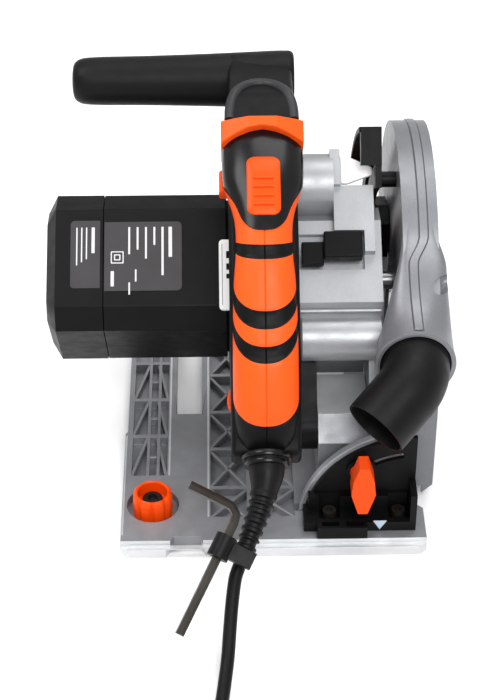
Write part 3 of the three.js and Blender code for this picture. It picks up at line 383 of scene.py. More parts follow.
def catmull(points, per_segment, alpha=0.5):
    """Centripetal Catmull-Rom curve through the points, which may have any number of coordinates."""
    pts = [Vector(p) for p in points]
    pts = [pts[0] * 2 - pts[1]] + pts + [pts[-1] * 2 - pts[-2]]
    out = []
    for i in range(1, len(pts) - 2):
        p0, p1, p2, p3 = pts[i - 1:i + 3]
        t0 = 0.0
        t1 = t0 + max((p1 - p0).length, 1e-6) ** alpha
        t2 = t1 + max((p2 - p1).length, 1e-6) ** alpha
        t3 = t2 + max((p3 - p2).length, 1e-6) ** alpha
        for k in range(per_segment):
            t = t1 + (t2 - t1) * k / per_segment
            a1 = p0 * ((t1 - t) / (t1 - t0)) + p1 * ((t - t0) / (t1 - t0))
            a2 = p1 * ((t2 - t) / (t2 - t1)) + p2 * ((t - t1) / (t2 - t1))
            a3 = p2 * ((t3 - t) / (t3 - t2)) + p3 * ((t - t2) / (t3 - t2))
            b1 = a1 * ((t2 - t) / (t2 - t0)) + a2 * ((t - t0) / (t2 - t0))
            b2 = a2 * ((t3 - t) / (t3 - t1)) + a3 * ((t - t1) / (t3 - t1))
            out.append(b1 * ((t2 - t) / (t2 - t1)) + b2 * ((t - t1) / (t2 - t1)))
    out.append(pts[-2])
    return out


def sweep_rings(path, radii, sides):
    """Rings square to a 3-D path, carried along it without twist; radii is one number or one per point."""
    if not hasattr(radii, "__len__"):
        radii = [radii] * len(path)
    rings = []
    normal = None
    for i, point in enumerate(path):
        ahead = path[min(i + 1, len(path) - 1)]
        behind = path[max(i - 1, 0)]
        tangent = (ahead - behind).normalized()
        if normal is None:
            normal = tangent.orthogonal().normalized()
        normal = (normal - tangent * normal.dot(tangent)).normalized()
        side = tangent.cross(normal)
        rings.append([point + normal * p + side * q for p, q in circle(0, 0, radii[i], sides)])
    return rings


def path_length(path):
    return sum((b - a).length for a, b in zip(path, path[1:]))


def smooth(t):
    t = min(1.0, max(0.0, t))
    return t * t * (3 - 2 * t)


def hermite(t, start, end, leave, arrive):
    """Value from start to end as t goes from 0 to 1, with slopes leave and arrive at its ends."""
    return ((2 * t ** 3 - 3 * t ** 2 + 1) * start + (t ** 3 - 2 * t ** 2 + t) * leave
            + (3 * t ** 2 - 2 * t ** 3) * end + (t ** 3 - t ** 2) * arrive)


def bulge(value, power):
    """A sine or cosine raised to a power below 1, which squares up a round section."""
    return math.copysign(abs(value) ** power, value)


def between(table, u):
    """Value at u on a smooth curve through a table of (u, value) pairs."""
    if u <= table[0][0]:
        return table[0][1]
    if u >= table[-1][0]:
        return table[-1][1]
    i = max(k for k in range(len(table) - 1) if table[k][0] <= u)

    def slope(k):
        if k in (0, len(table) - 1):
            return 0.0
        return (table[k + 1][1] - table[k - 1][1]) / (table[k + 1][0] - table[k - 1][0])
    (u0, v0), (u1, v1) = table[i], table[i + 1]
    span = u1 - u0
    return hermite((u - u0) / span, v0, v1, span * slope(i), span * slope(i + 1))


def merge(target, *others):
    """Joins other pieces into target; they share its body and slot."""
    meshes = [target, *others]
    with bpy.context.temp_override(active_object=target, object=target, selected_objects=meshes,
                                   selected_editable_objects=meshes):
        bpy.ops.object.join()
    return target


# ---------------------------------------------------------------- cord, coil, tie and plug
CORD_R = 4
COIL = {"x": 9, "y": -356, "r": 44, "pitch": 8.15, "floor": 4.3}
PLUG_LOOP = {"r": 33, "y": -11, "z": 33.3}
EXIT = UNIT @ Vector((-21.5, -98, 61)) - Vector((0, 0.3, 0.3))
CORD_ROUTE = [EXIT, (-24.3, -210, 41), (-26.5, -222, 32.6), (-28.1, -236, 23), (-29.5, -250, 14.5),
              (-31.4, -263, 8.6), (-33.3, -276, 5.2), (-35, -290, 4.3), (-35.6, -304, 4.3),
              (-35.2, -313.5, 4.3)]
DROP_POINTS = 7
PER_SPAN = 6
TURN_STEPS = 36
LOOP_STEPS = 12


def coil_path():
    """Three layers: inward on the floor, outward above it, then one outer turn and the plug's loop."""
    turns = [(1, 0), (0, 0), (-1, 0), (-1, 1), (0, 1), (1, 1), (1, 2), (0, 2)]
    change = 1 / 6
    points = []
    for k, (column, layer) in enumerate(turns):
        before = turns[max(k - 1, 0)]
        last = k == len(turns) - 1
        for i in range(TURN_STEPS // 4 + 1 if last else TURN_STEPS):
            t = i / TURN_STEPS
            ease = smooth(t / change)
            r = COIL["r"] + (before[0] + (column - before[0]) * ease) * COIL["pitch"]
            z = COIL["floor"] + (before[1] + (layer - before[1]) * ease) * COIL["pitch"]
            angle = math.pi + 2 * math.pi * t
            points.append(Vector((COIL["x"] + r * math.cos(angle), COIL["y"] + r * math.sin(angle), z)))
    top = points[-1].z
    loop = arc(COIL["x"], COIL["y"] + PLUG_LOOP["y"], PLUG_LOOP["r"], 270, 360, LOOP_STEPS)
    for i, (x, y) in enumerate(loop[1:], 1):
        points.append(Vector((x, y, top + (PLUG_LOOP["z"] - top) * smooth(i / LOOP_STEPS))))
    return points


def cords():
    """Two tubes on one curve: down to the floor, and along it into the coil and the plug."""
    coil = coil_path()
    drop = catmull(CORD_ROUTE[:DROP_POINTS + 1], PER_SPAN)[:PER_SPAN * (DROP_POINTS - 1) + 1]
    rest = catmull(CORD_ROUTE[DROP_POINTS - 2:] + coil[:1], PER_SPAN)[PER_SPAN:-1]
    floor_run = [drop[-1]] + rest[1:] + coil
    first = loft("cord_drop", sweep_rings(drop, CORD_R, 16), "rubber", None, "black_rubber")
    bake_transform(first)
    second = loft("cord_floor", sweep_rings(floor_run, CORD_R, 16), "rubber", None, "black_rubber")
    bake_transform(second)
    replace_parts(first, "cord_run")
    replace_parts(second, "cord_coil")
    plug = refined("plug", 1.6)
    tie = refined("cord_tie", 0.4)


# ---------------------------------------------------------------- handle
# (u, w) along the handle's ridge, and (u, half width) of the grip
SPINE = [(-36, 64), (-24, 79), (0, 93), (25, 102.5), (55, 110), (90, 114), (125, 112.5), (150, 108),
         (172, 101)]
SPINE_LINE = catmull(SPINE, 24, alpha=0.0)
GRIP_HALF = [(-38, 15.3), (-30, 17.6), (-18, 18.8), (30, 18.7), (60, 17.8), (76, 16.6), (90, 16.3),
             (100, 16.9), (108, 18.4), (116, 20.8), (124, 22.7), (134, 23.4), (150, 23.4), (172, 21.5)]
# (u of the edge on the ridge, how far forward it has moved at the sides, look of the band behind it)
BANDS = [(-21.5, 13, "black"), (12.5, 19.5, "orange"), (21, 18.5, "black"), (31.5, 18, "orange"),
         (41, 17.5, "black"), (72, 7.5, "orange"), (80, 5.5, "black"), (122, 3, "orange"),
         (166, 0, "black_gloss")]
GRIP = {"start": -37, "rise": 13, "drop": 14, "pad": 0.55, "step": 0.45, "seam": 0.5, "station": 2.5,
        "side_edge": math.radians(112), "squareness": 2 / 2.35}


def spine_at(u):
    """Height and slope of the handle's ridge at u."""
    spans = list(zip(SPINE_LINE, SPINE_LINE[1:]))
    p, q = next((span for span in spans if u <= span[1].x), spans[-1])
    slope = (q.y - p.y) / (q.x - p.x)
    return p.y + slope * (u - p.x), math.atan(slope)


def grip_point(u, phi, proud):
    """Point on the grip: phi is measured from the ridge round the section, proud is added outwards."""
    w, slope = spine_at(u)
    aside = bulge(math.sin(phi), GRIP["squareness"])
    up = bulge(math.cos(phi), GRIP["squareness"])
    x = (between(GRIP_HALF, u) + proud) * aside
    height = (GRIP["rise" if up > 0 else "drop"] + proud) * up - GRIP["rise"]
    return (SEAM_X + x, u - height * math.sin(slope), w + height * math.cos(slope))


def grip_angles():
    """Angles round the section, with a fine pair beside the ridge for the moulding seam."""
    fine = math.radians(0.9)
    half = [fine] + [math.radians(a) for a in range(4, 180, 4)]
    return [0.0] + half + [math.pi] + [-a for a in reversed(half)]


def grip_shell():
    """One skin over the grip: orange bands stand proud of black ones, with edges bowed at the sides."""
    angles = grip_angles()
    rings = []
    looks = []
    start, start_rise = GRIP["start"], 0
    for band, (edge, rise, look) in enumerate(BANDS):
        stations = max(3, int(abs(edge - start) / GRIP["station"]))
        gap = GRIP["step"] if band else 0
        for i in range(stations + 1):
            ring = []
            for phi in angles:
                spread = 1 - math.cos(min(abs(phi), math.pi / 2))
                low = start + start_rise * spread + gap
                high = edge + rise * spread - GRIP["step"]
                proud = GRIP["pad"] if look == "orange" and abs(phi) < GRIP["side_edge"] else 0.0
                if phi == 0.0:
                    proud -= GRIP["seam"]
                ring.append(grip_point(low + (high - low) * i / stations, phi, proud))
            rings.append(ring)
            looks.append(look)
        start, start_rise = edge, rise
    names = ["black", "orange", "black_gloss"]
    face_looks = []
    for here, ahead in zip(looks, looks[1:]):
        for phi, following in zip(angles, angles[1:] + angles[:1]):
            under = abs(phi + following) / 2 > GRIP["side_edge"]
            face_looks.append(0 if under or here != ahead else names.index(here))
    end_caps = [0, 0]
    shell = loft("grip_shell", rings, None, "saw_unit", "orange_grip", UNIT, looks=names,
                 face_looks=face_looks + end_caps, sharp=32)
    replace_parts(shell, "grip_left", "grip_right")


# (distance in front of the round end, how far round the section the surround reaches in degrees)
BEZEL_REACH = [(0, 0), (0.6, 13), (2.3, 25), (5, 36), (9.5, 47), (18, 58), (24, 67), (30, 79), (36, 92),
               (61, 100)]
BEZEL = {"end_u": 89, "front_u": 159, "proud": 1.15, "thick": 1.6}


def switch_bezel():
    """Black raised surround of the slide, a tongue shape that ends in a round bottom."""
    rows, columns = 60, 30
    length = BEZEL["front_u"] - BEZEL["end_u"]
    verts = []
    for i in range(rows + 1):
        ahead = length * (i / rows) ** 1.8
        reach = math.radians(between(BEZEL_REACH, ahead))
        for k in range(columns + 1):
            verts.append(grip_point(BEZEL["end_u"] + ahead, reach * (2 * k / columns - 1), BEZEL["proud"]))
    faces = grid_faces(rows + 1, columns + 1)
    piece = make("switch_bezel", verts, faces, "black_gloss", "saw_unit", "black_plastic", UNIT, sharp=50)
    thicken(piece, BEZEL["thick"])


SLIDE = {"u0": 98.5, "u1": 137, "half_x": 10, "corner": 5, "crown": 0.5}
SLIDE_RIBS_U = (105, 110.6, 116.2, 121.8)


def slide_top(u):
    """Height of the slide's face over the ridge: it climbs forward and drops at its front crease."""
    return spine_at(u)[0] + 1.9 + smooth((u - 100) / 30) - 1.4 * smooth((u - 132) / 5)


def slide_switch():
    """Thumb slide: a rounded pad with four ridges and a crease near its front."""
    half_x, corner = SLIDE["half_x"], SLIDE["corner"]
    half_u = (SLIDE["u1"] - SLIDE["u0"]) / 2
    centre_u = (SLIDE["u1"] + SLIDE["u0"]) / 2
    outline = []
    for cx, cu, first in ((1, 1, 0), (-1, 1, 90), (-1, -1, 180), (1, -1, 270)):
        outline += arc(cx * (half_x - corner), cu * (half_u - corner), corner, first, first + 90, 6)
    rings = []
    for scale, lift in ((1.0, -9), (1.0, -0.8), (0.985, -0.25), (0.95, 0.0), (0.7, 0.15), (0.4, 0.2),
                        (0.05, 0.2)):
        ring = []
        for dx, du in outline:
            u = centre_u + du * scale
            crown = SLIDE["crown"] * (1 - (dx * scale / half_x) ** 2)
            ring.append((SEAM_X + dx * scale, u, slide_top(u) + lift + crown))
        rings.append(ring)
    pad = loft("safety_slide_pad", rings, "orange_knob", "slide_switch", "orange_plastic", UNIT)
    ribs = []
    for u in SLIDE_RIBS_U:
        path = []
        for dx in range(-6, 7):
            crown = SLIDE["crown"] * (1 - (dx / half_x) ** 2)
            path.append(Vector((SEAM_X + dx, u, slide_top(u) + 0.7 + crown)))
        ribs.append(loft(f"slide_rib_{u:.0f}", sweep_rings(path, 0.75, 10), "orange_knob", "slide_switch",
                         "orange_plastic", UNIT))
    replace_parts(merge(pad, *ribs), "safety_slide")


def cutter(outline, axis, low, high, space=WORLD):
    return prism("cutter", outline, axis, low, high, "cavity", None, None, space)


def subtract(obj, *cutters):
    """Cuts the cutters out of obj and removes them."""
    for tool in cutters:
        modifier = obj.modifiers.new("cut", "BOOLEAN")
        modifier.operation = "DIFFERENCE"
        modifier.solver = "EXACT"
        modifier.object = tool
        evaluated = obj.evaluated_get(bpy.context.evaluated_depsgraph_get())
        mesh = bpy.data.meshes.new_from_object(evaluated)
        obj.modifiers.clear()
        obj.data = mesh
        bpy.data.objects.remove(tool)


def handle_core():
    """Black shell below the grip: rear block, bridge over the hand hole, front pillar and body."""
    outer = [(-37, 56), (-34, 66), (-24, 68), (0, 80), (30, 88), (60, 92), (90, 95), (125, 94), (150, 92),
             (171, 88), (171, 66), (160, 44), (147, 20), (140, -33), (51, -33), (47, 0), (31, 24), (5, 36),
             (-24, 46), (-36, 53)]
    hole = [(18, 50.5), (140, 50.5), (150, 62), (147, 73), (130, 78), (60, 77), (24, 68), (11, 59)]
    half, cut_half = 21, 40
    body = prism("handle_shell", outer, "x", SEAM_X - half, SEAM_X + half, "black", "saw_unit",
                 "black_plastic", UNIT)
    subtract(body, cutter(hole, "x", SEAM_X - cut_half, SEAM_X + cut_half, UNIT))
    soften(body, 5, 5, 40)
    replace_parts(body, "handle_left", "handle_right")


BAR_U, BAR_W = 217, 50
# (radius, x) along the bar from its far end
BAR_PROFILE = [(0.5, -124), (7, -123.8), (11.5, -122.5), (14, -119), (15, -113), (15.6, -80), (16.6, -40),
               (17.9, -5), (18.3, 5), (18.3, 11), (18, 15), (16.4, 16.8), (12, 17), (0.5, 17)]
NECK = [(165, 100), (186, 94), (204, 79), (217, 68.5), (229, 64), (235, 52), (231, 38), (217, 33),
        (192, 39), (170, 62)]
NECK_RIDGE = [(165, 100.2), (186, 94.2), (204, 79.4), (217, 69)]


def front_handle():
    """Side bar, the neck that carries it, and the raised bow on the neck's top face."""
    smoothed = [tuple(p) for p in catmull(BAR_PROFILE, 3)]
    piece = lathe("front_handle_bar", "x", BAR_U, BAR_W, smoothed, "black_soft", "saw_unit",
                  "black_plastic", UNIT, count=56, sharp=60)
    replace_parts(piece, "front_handle")
    neck = prism("front_handle_neck", NECK, "x", -25, 15, "black", "saw_unit", "black_plastic", UNIT)
    soften(neck, 3.5, 4, 20)
    bow = []
    steps = 24
    for i in range(steps + 1):
        a = math.pi * i / steps
        aside = -19.5 * math.cos(a)
        u = 168 + 31 * math.sin(a) ** 0.8
        edge_drop = 1.8 * smooth((abs(aside) - 15.5) / 4)
        bow.append(Vector((SEAM_X + aside, u, between(NECK_RIDGE, u) - 1.8 - edge_drop)))
    loft("neck_rib", sweep_rings(bow, 3.3, 20), "rib_black", "saw_unit", "black_plastic", UNIT, sharp=60)


def collar():
    """Faceted arch over the front of the handle; its rear edge bows forward over the ridge."""
    half, front_u, base_w = 25, 163, 78
    outer = [(-half, base_w), (-half, 92), (-half, 106.6), (-17, 110.4), (-8.5, 114), (0, 114), (8.5, 114),
             (17, 110.4), (half, 106.6), (half, 92), (half, base_w)]
    rings = []
    for x, w in outer:
        inner_x = x * 0.86
        inner_w = base_w + (w - base_w) * 0.78
        rear = 157.2 - 8.5 * (abs(x) / half) ** 1.6 - (0 if w > 100 else 1.2)
        rings.append([(SEAM_X + x, front_u, w), (SEAM_X + x, rear, w),
                      (SEAM_X + inner_x, rear - 0.4, inner_w), (SEAM_X + inner_x, front_u, inner_w)])
    arch = loft("front_collar_arch", rings, "orange", "saw_unit", "orange_plastic", UNIT)
    soften(arch, 0.9, 3, 12)
    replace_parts(arch, "front_collar")


# ---------------------------------------------------------------- motor labels and marks
def plate(name, x0, x1, u0, u1, w0, w1, corner, look, rounded=(1, 1, 1, 1)):
    """Thin plate on a face square to w, with rounded corners where rounded says so."""
    outline = []
    corners = ((x1, u1, 0), (x0, u1, 90), (x0, u0, 180), (x1, u0, 270))
    for use, (cx, cu, first) in zip(rounded, corners):
        if use:
            ax = cx - corner if cx == x1 else cx + corner
            au = cu - corner if cu == u1 else cu + corner
            outline += arc(ax, au, corner, first, first + 90, 5)
        else:
            outline.append((cx, cu))
    return prism(name, outline, "z", w0, w1, look, "saw_unit", "black_plastic", UNIT)


MOTOR_U, MOTOR_W = 98, 6
MOTOR_TOP = 49.5
MOTOR_SECTION = [(70, -37), (128, -37), (144, -20), (144, 36), (129, MOTOR_TOP), (65, MOTOR_TOP), (53, 38),
                 (53, -19)]
# (length, thickness) of the large panel's bars
BARS = [(20, 2.2), (32, 1.4), (12, 1.2), (21, 1.2), (15, 1.2), (18, 1.2)]


def printed(name, x0, x1, u0, u1):
    """Printed bar on a motor panel."""
    return plate(name, x0, x1, u0, u1, MOTOR_TOP + 0.3, MOTOR_TOP + 0.45, 0.3, "print")


def motor_labels():
    """Two dark panels on the motor with generic bars and a double square."""
    low, high = MOTOR_TOP - 0.2, MOTOR_TOP + 0.35
    plate("rating_plate", -103, -55, 75, 120.5, low, high, 3, "label", rounded=(1, 0, 0, 1))
    plate("side_plate", -124, -105.7, 77, 121.5, low, high, 2.5, "label", rounded=(0, 1, 1, 0))
    line_end = 117
    marks = []
    for k, (length, thick) in enumerate(BARS):
        x = -61 - 5.2 * k
        marks.append(printed(f"mark_{k}", x - thick, x, line_end - length, line_end))
    for k, u in enumerate((89, 80.5)):
        marks.append(printed(f"mark_right_{k}", -84 - 4 * k, -83 - 4 * k, u - 8, u))
    outer, line, x, u = 8, 1.4, -95, 97
    for k, size in enumerate((outer, outer - line, outer / 2, outer / 2 - line)):
        half = size / 2
        low, high = MOTOR_TOP + 0.3 + 0.05 * k, MOTOR_TOP + 0.4 + 0.05 * k
        marks.append(plate(f"class_square_{k}", x - half, x + half, u - half, u + half, low, high, 0.5,
                           "label" if k % 2 else "print"))
    marks.append(printed("mark_bar", -99, -97, 78, 88))
    marks.append(printed("mark_side", -111, -109, 100, line_end))
    for k in range(3):
        x = -114.5 - 3 * k
        marks.append(printed(f"mark_side_{k}", x, x + 0.8, 96 - 2 * k, line_end))
    merge(*marks)


def motor_flange():
    """Closes the gap between the motor housing and the handle."""
    shrink = 0.93
    outline = [(MOTOR_U + (u - MOTOR_U) * shrink, MOTOR_W + (w - MOTOR_W) * shrink)
               for u, w in MOTOR_SECTION]
    prism("motor_flange", outline, "x", -31, -22, "black", "saw_unit", "black_plastic", UNIT)


def handle_badge():
    """White badge beside the handle with plain marks."""
    face = 50.1
    low, high = face - 0.05, face + 0.1
    plate("body_badge", -32, 15.2, 62, 108, face - 2.1, face, 2.5, "white")
    marks = [plate("badge_line_0", -30.2, -29.9, 65, 105, low, high, 0.1, "label")]
    for k, (u, size) in enumerate(((99, 3.4), (91, 3.0), (84.5, 2.2))):
        marks.append(plate(f"badge_mark_{k}", -27.5, -27.5 + size * 1.2, u - size, u + size * 0.4, low,
                           high, 0.3, "black"))
    merge(*marks)


# ---------------------------------------------------------------- strain relief
BOOT_LINE = [(-5, -33, 62.5), (-5, -38.6, 62.5), (-5.2, -46, 62.5), (-7.2, -58, 62.4), (-11.6, -72, 62),
             (-17, -86, 61.5), (-21.5, -97.7, 61)]
# (share of the length, radius)
BOOT_RADIUS = [(0, 13.2), (0.09, 13.0), (0.1, 11.4), (0.2, 10.2), (0.38, 7.6), (1, 5.8)]
BOOT_RIBS = 8
BOOT_RIBS_FROM = 0.36


def strain_relief():
    """Two gland rings, a cone and a boot with eight segments that thins towards the cord."""
    line = catmull(BOOT_LINE, 16)
    total = path_length(line)
    radii = []
    for i in range(len(line)):
        s = path_length(line[:i + 1]) / total
        radius = between(BOOT_RADIUS, s)
        if s > BOOT_RIBS_FROM:
            wave = math.sin((s - BOOT_RIBS_FROM) / (1 - BOOT_RIBS_FROM) * 2 * math.pi * BOOT_RIBS)
            radius += 0.55 if wave > 0 else -0.75
        radii.append(radius)
    boot = loft("strain_relief_boot", sweep_rings(line, radii, 28), "rubber", "saw_unit", "black_rubber",
                UNIT)
    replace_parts(boot, "strain_relief")
    x, _, w = BOOT_LINE[0]
    for k, (r, u) in enumerate(((15.5, -35.5), (13.8, -39.5))):
        profile = [(r - 2.5, u - 1.6), (r - 0.6, u - 1.4), (r, u), (r - 0.6, u + 1.4), (r - 2.5, u + 1.6)]
        lathe(f"gland_ring_{k}", "y", x, w, profile, "black_gloss", "saw_unit", "black_rubber", UNIT,
              sharp=60)


# ---------------------------------------------------------------- blade cover, collar and elbow
COVER = {"y": 20, "z": 97, "r": 98, "left": 80.5, "right": 102.5, "rear": -100, "rear_top": 122,
         "wall": 2.5}
DUCT = {"x": 86, "y": -105, "z": 115, "r": 24, "bore": 21.4}
FLARE = {"front": -36, "leave": -50, "slope": -1.02, "shoulder": 5}


def sector(inner, outer, first, last, steps):
    """Outline in (y, z) of a band round the plunge axis, between two angles in degrees."""
    return (arc(PIVOT.y, PIVOT.z, outer, first, last, steps)
            + arc(PIVOT.y, PIVOT.z, inner, last, first, steps))


def cover_outline(inset, bottom):
    """Side outline of the cover in (y, z): straight at the rear and round over the blade."""
    y, z, r = COVER["y"], COVER["z"], COVER["r"] - inset
    rear = COVER["rear"] + inset
    foot = [(rear, bottom), (y + r * 0.86, bottom), (y + r * 0.985, bottom + 22)]
    return foot + arc(y, z, r, 0, 144, 40) + [(rear, COVER["rear_top"])]


def blade_cover():
    """Hollow cover, cut out over the base, for the bevel tilt, and where the arbor and frame pass."""
    left, right, wall = COVER["left"], COVER["right"], COVER["wall"]
    shell = prism("blade_cover_shell", cover_outline(0, 4), "x", left, right, "silver_paint",
                  "blade_housing", "cast_alloy")
    hollow = cutter(cover_outline(wall, -12), "x", left + wall, right - wall)
    over_base = cutter([(78, -12), (95.6, -12), (95.6, 13), (78, 13)], "y", -210, 210)
    bevel_relief = cutter([(88, -2), (112, -2), (112, 23), (89, 0)], "y", -210, 210)
    arbor = []
    stops = 10
    for i in range(stops):
        turn = Matrix.Rotation(PLUNGE * i / (stops - 1), 4, "X")
        centre = PIVOT + turn @ (ARBOR - PIVOT)
        arbor.append(cutter(circle(centre.y, centre.z, 18, 24), "x", left - 2, left + 4))
    mouth = cutter([(-3, -10), (34, -10), (34, 40), (-3, 40)], "x", left - 2, left + 4)
    subtract(shell, hollow, over_base, bevel_relief, *arbor, mouth)
    soften(shell, 1.5, 3, 35)
    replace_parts(shell, "blade_cover")
    return shell


def top_line(y):
    """Height of the cover's ridge over y: round over the blade, then easing into the dust collar."""
    def crest(y):
        return COVER["z"] + math.sqrt(max(COVER["r"] ** 2 - (y - COVER["y"]) ** 2, 0))
    leave = FLARE["leave"]
    if y >= leave:
        return crest(y)
    run = leave - DUCT["y"]
    return hermite((leave - y) / run, crest(leave), DUCT["z"] + DUCT["r"], FLARE["slope"] * run, 0)


def cover_flare():
    """The cover swells from its narrow section over the blade into the round dust collar."""
    rings = []
    sides = 72
    stations = 36
    duct_r, bore, rim_y = DUCT["r"], DUCT["bore"], -106.6
    swell = DUCT["x"] + duct_r - COVER["right"] - FLARE["shoulder"]
    for i in range(stations + 1):
        t = i / stations
        y = FLARE["front"] + (DUCT["y"] - FLARE["front"]) * t
        left = COVER["left"] - (COVER["left"] - DUCT["x"] + duct_r) * smooth((-38 - y) / 67)
        right = COVER["right"] + FLARE["shoulder"] * smooth((-44 - y) / 14) + swell * smooth((-52 - y) / 45)
        top = top_line(y) + 0.4 * smooth((FLARE["front"] - y) / 12)
        low = top - (30 + 18 * smooth(t * 1.3))
        squareness = 2 / (2 + 4.5 * (1 - smooth(t * 1.15)))
        rings.append([((left + right) / 2 + (right - left) / 2 * bulge(c, squareness), y,
                       (top + low) / 2 + (top - low) / 2 * bulge(s, squareness))
                      for c, s in circle(0, 0, 1, sides)])
    for r, y in ((duct_r + 0.5, -104.2), (duct_r + 0.6, -106), (duct_r - 0.4, rim_y), (bore + 0.4, rim_y),
                 (bore, -105.8), (bore, -84)):
        rings.append([(x, y, z) for x, z in circle(DUCT["x"], DUCT["z"], r, sides)])
    sharp = 40
    flare = loft("dust_collar", rings, "silver_paint", "blade_housing", "cast_alloy", sharp=sharp)
    turn = Matrix.Translation((104, -68, 147)) @ Matrix.Rotation(math.radians(-35), 4, "Z")
    scoop = []
    for x, along in arc(0, 0, 1, 90, -90, 16)[1:-1]:
        scoop.append([turn @ Vector((5.5 * p, 9 * along, 5 * q)) for p, q in circle(0, 0, x, 24)])
    subtract(flare, loft("cutter", scoop, "cavity", None, None))
    shade(flare.data, sharp)
    return flare


# (sideways, lift) across the band: groove, raised strip, groove; the grooves are coloured dark as painted
# shade
BAND_PROFILE = ((-3.2, 0.06), (-2.6, 0.06), (-2.3, 1.0), (2.3, 1.0), (2.6, 0.06), (3.2, 0.06))


def band_stations():
    """From the nose to the duct: (start of a ray in (y, z), its direction, the y that it stands for)."""
    stations = []
    start_r, arc_steps, duct_steps = 130, 90, 25
    for i in range(arc_steps):
        a = math.radians(14 + 121 * i / arc_steps)
        inward = Vector((0, -math.cos(a), -math.sin(a)))
        start = (COVER["y"] - start_r * inward.y, COVER["z"] - start_r * inward.z)
        stations.append((start, inward, COVER["y"] - COVER["r"] * inward.y))
    for i in range(duct_steps + 1):
        t = i / duct_steps
        y = -50 - 54 * t
        a = math.radians(135 - 45 * smooth(t * 1.3))
        inward = Vector((0, -math.cos(a), -math.sin(a)))
        stations.append(((y - inward.y * 30, top_line(y) - inward.z * 30), inward, y))
    return stations


def crest_band(*surfaces):
    """Raised band along the crest between two grooves, with a jog towards the saw unit at the duct."""
    trees = [BVHTree.FromObject(obj, bpy.context.evaluated_depsgraph_get()) for obj in surfaces]

    def on_surface(x, origin, inward, lift):
        start = Vector((x, *origin)) * MM
        hits = [tree.ray_cast(start, inward)[0] for tree in trees]
        nearest = min((hit for hit in hits if hit), key=lambda hit: (hit - start).length)
        return nearest / MM - inward * lift
    stations = band_stations()
    verts = []
    for origin, inward, y in stations:
        x = 93.2 - 6.7 * smooth((-47 - y) / 13) + 0.5 * smooth((-65 - y) / 35)
        for dx, lift in BAND_PROFILE:
            verts.append(on_surface(x + dx, origin, inward, lift))
    across = len(BAND_PROFILE)
    # The outer strip on each side, the groove, takes the dark look: painted shade in the grooves.
    looks = ([1] + [0] * (across - 3) + [1]) * (len(stations) - 1)
    band = make("cover_band", verts, grid_faces(len(stations), across), None, "blade_housing",
                "cast_alloy", sharp=30, looks=["silver_paint", "painted_groove_shade"], face_looks=looks)
    thicken(band, 0.5)


def cover_details():
    """Black blade-side bracket with two brass screws, and the flange along the depth scale."""
    prism("housing_bracket", [(30, 100), (62, 100), (64, 126), (44, 132), (30, 126)], "x", 72, 79.8,
          "black", "blade_housing", "black_plastic")
    screw = [(0.1, 69.9), (2.6, 69.9), (3, 70.3), (3, 71.4), (4.3, 71.6), (4.3, 72.4)]
    for k, (y, z) in enumerate(((56, 122), (44, 110))):
        lathe(f"bracket_screw_{k}", "x", y, z, screw, "brass", "blade_housing", "steel", count=24)
    rim = prism("scale_flange", sector(184.5, 188, 28, 58, 24), "x", 56, 70, "black", "blade_housing",
                "black_plastic")
    soften(rim, 0.6, 2)


def barrel_skirt():
    """Rounded underside of the gear barrel and the guard round the plunge axis that closes its gap."""
    belly = [(0.1, 17.6), (12.6, 17.6), (14, 19), (14, 68), (12.6, 69.4), (0.1, 69.4)]
    lathe("barrel_belly", "x", 49, 30.6, belly, "silver", "saw_unit", "cast_alloy", UNIT, count=72)
    prism("barrel_guard", sector(44.9, 47.5, 12, 60, 20), "x", 29, 60.3, "silver", "saw_unit",
          "cast_alloy")


ELBOW = {"side": Vector((-0.843, 0, -0.538)), "inside": 14, "lead": 17, "bend": 52, "bend_r": 26,
         "tail": 27}


def dust_elbow():
    """Hollow tube: straight out of the collar, one bend, and a straight tail."""
    lead, bend_r, bend = ELBOW["lead"], ELBOW["bend_r"], math.radians(ELBOW["bend"])
    start = Vector((DUCT["x"], DUCT["y"] + ELBOW["inside"], DUCT["z"]))
    flat = [(s, 0) for s in (0, 4, 8, 12)] + arc(lead, bend_r, bend_r, -90, ELBOW["bend"] - 90, 14)
    along, aside = flat[-1]
    tail_steps = 8
    for i in range(1, tail_steps + 1):
        s = ELBOW["tail"] * i / tail_steps
        flat.append((along + s * math.cos(bend), aside + s * math.sin(bend)))
    path = [start + Vector((0, -a, 0)) + ELBOW["side"] * b for a, b in flat]
    outer = sweep_rings(path, [20.2] * (len(path) - 1) + [20.0], 56)
    inner = sweep_rings(path, [18.4] * (len(path) - 1) + [18.7], 56)
    piece = loft("dust_elbow_tube", outer + inner[::-1], "black_soft", "elbow", "black_plastic",
                 close_ends=False, closed=True, sharp=50)
    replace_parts(piece, "dust_elbow")
    rim = [(20.1, -107.2), (20.9, -107), (21.1, -105.5), (21.1, -100), (20.1, -99)]
    lathe("dust_elbow_rim", "y", DUCT["x"], DUCT["z"], rim, "black", "elbow", "black_plastic",
          close_ends=False)


# ---------------------------------------------------------------- base details
CAM_X = -75.5
# (radius, height, share of the flutes' depth)
CAM_PROFILE = [(12.6, 4.6, 0.9), (12.6, 17, 1), (12.1, 19.6, 1), (10.8, 20.9, 0.6), (10.2, 21, 0),
               (9.4, 20.3, 0), (9.2, 12.2, 0), (0.1, 12, 0)]
CAM_SCREW = [(6.2, 12.1), (6.4, 12.8), (6.4, 15.6), (5.9, 16.1), (3.2, 16.1), (3.0, 13.2), (0.1, 13.2)]
FLUTES, FLUTE_DEPTH = 8, 1.7


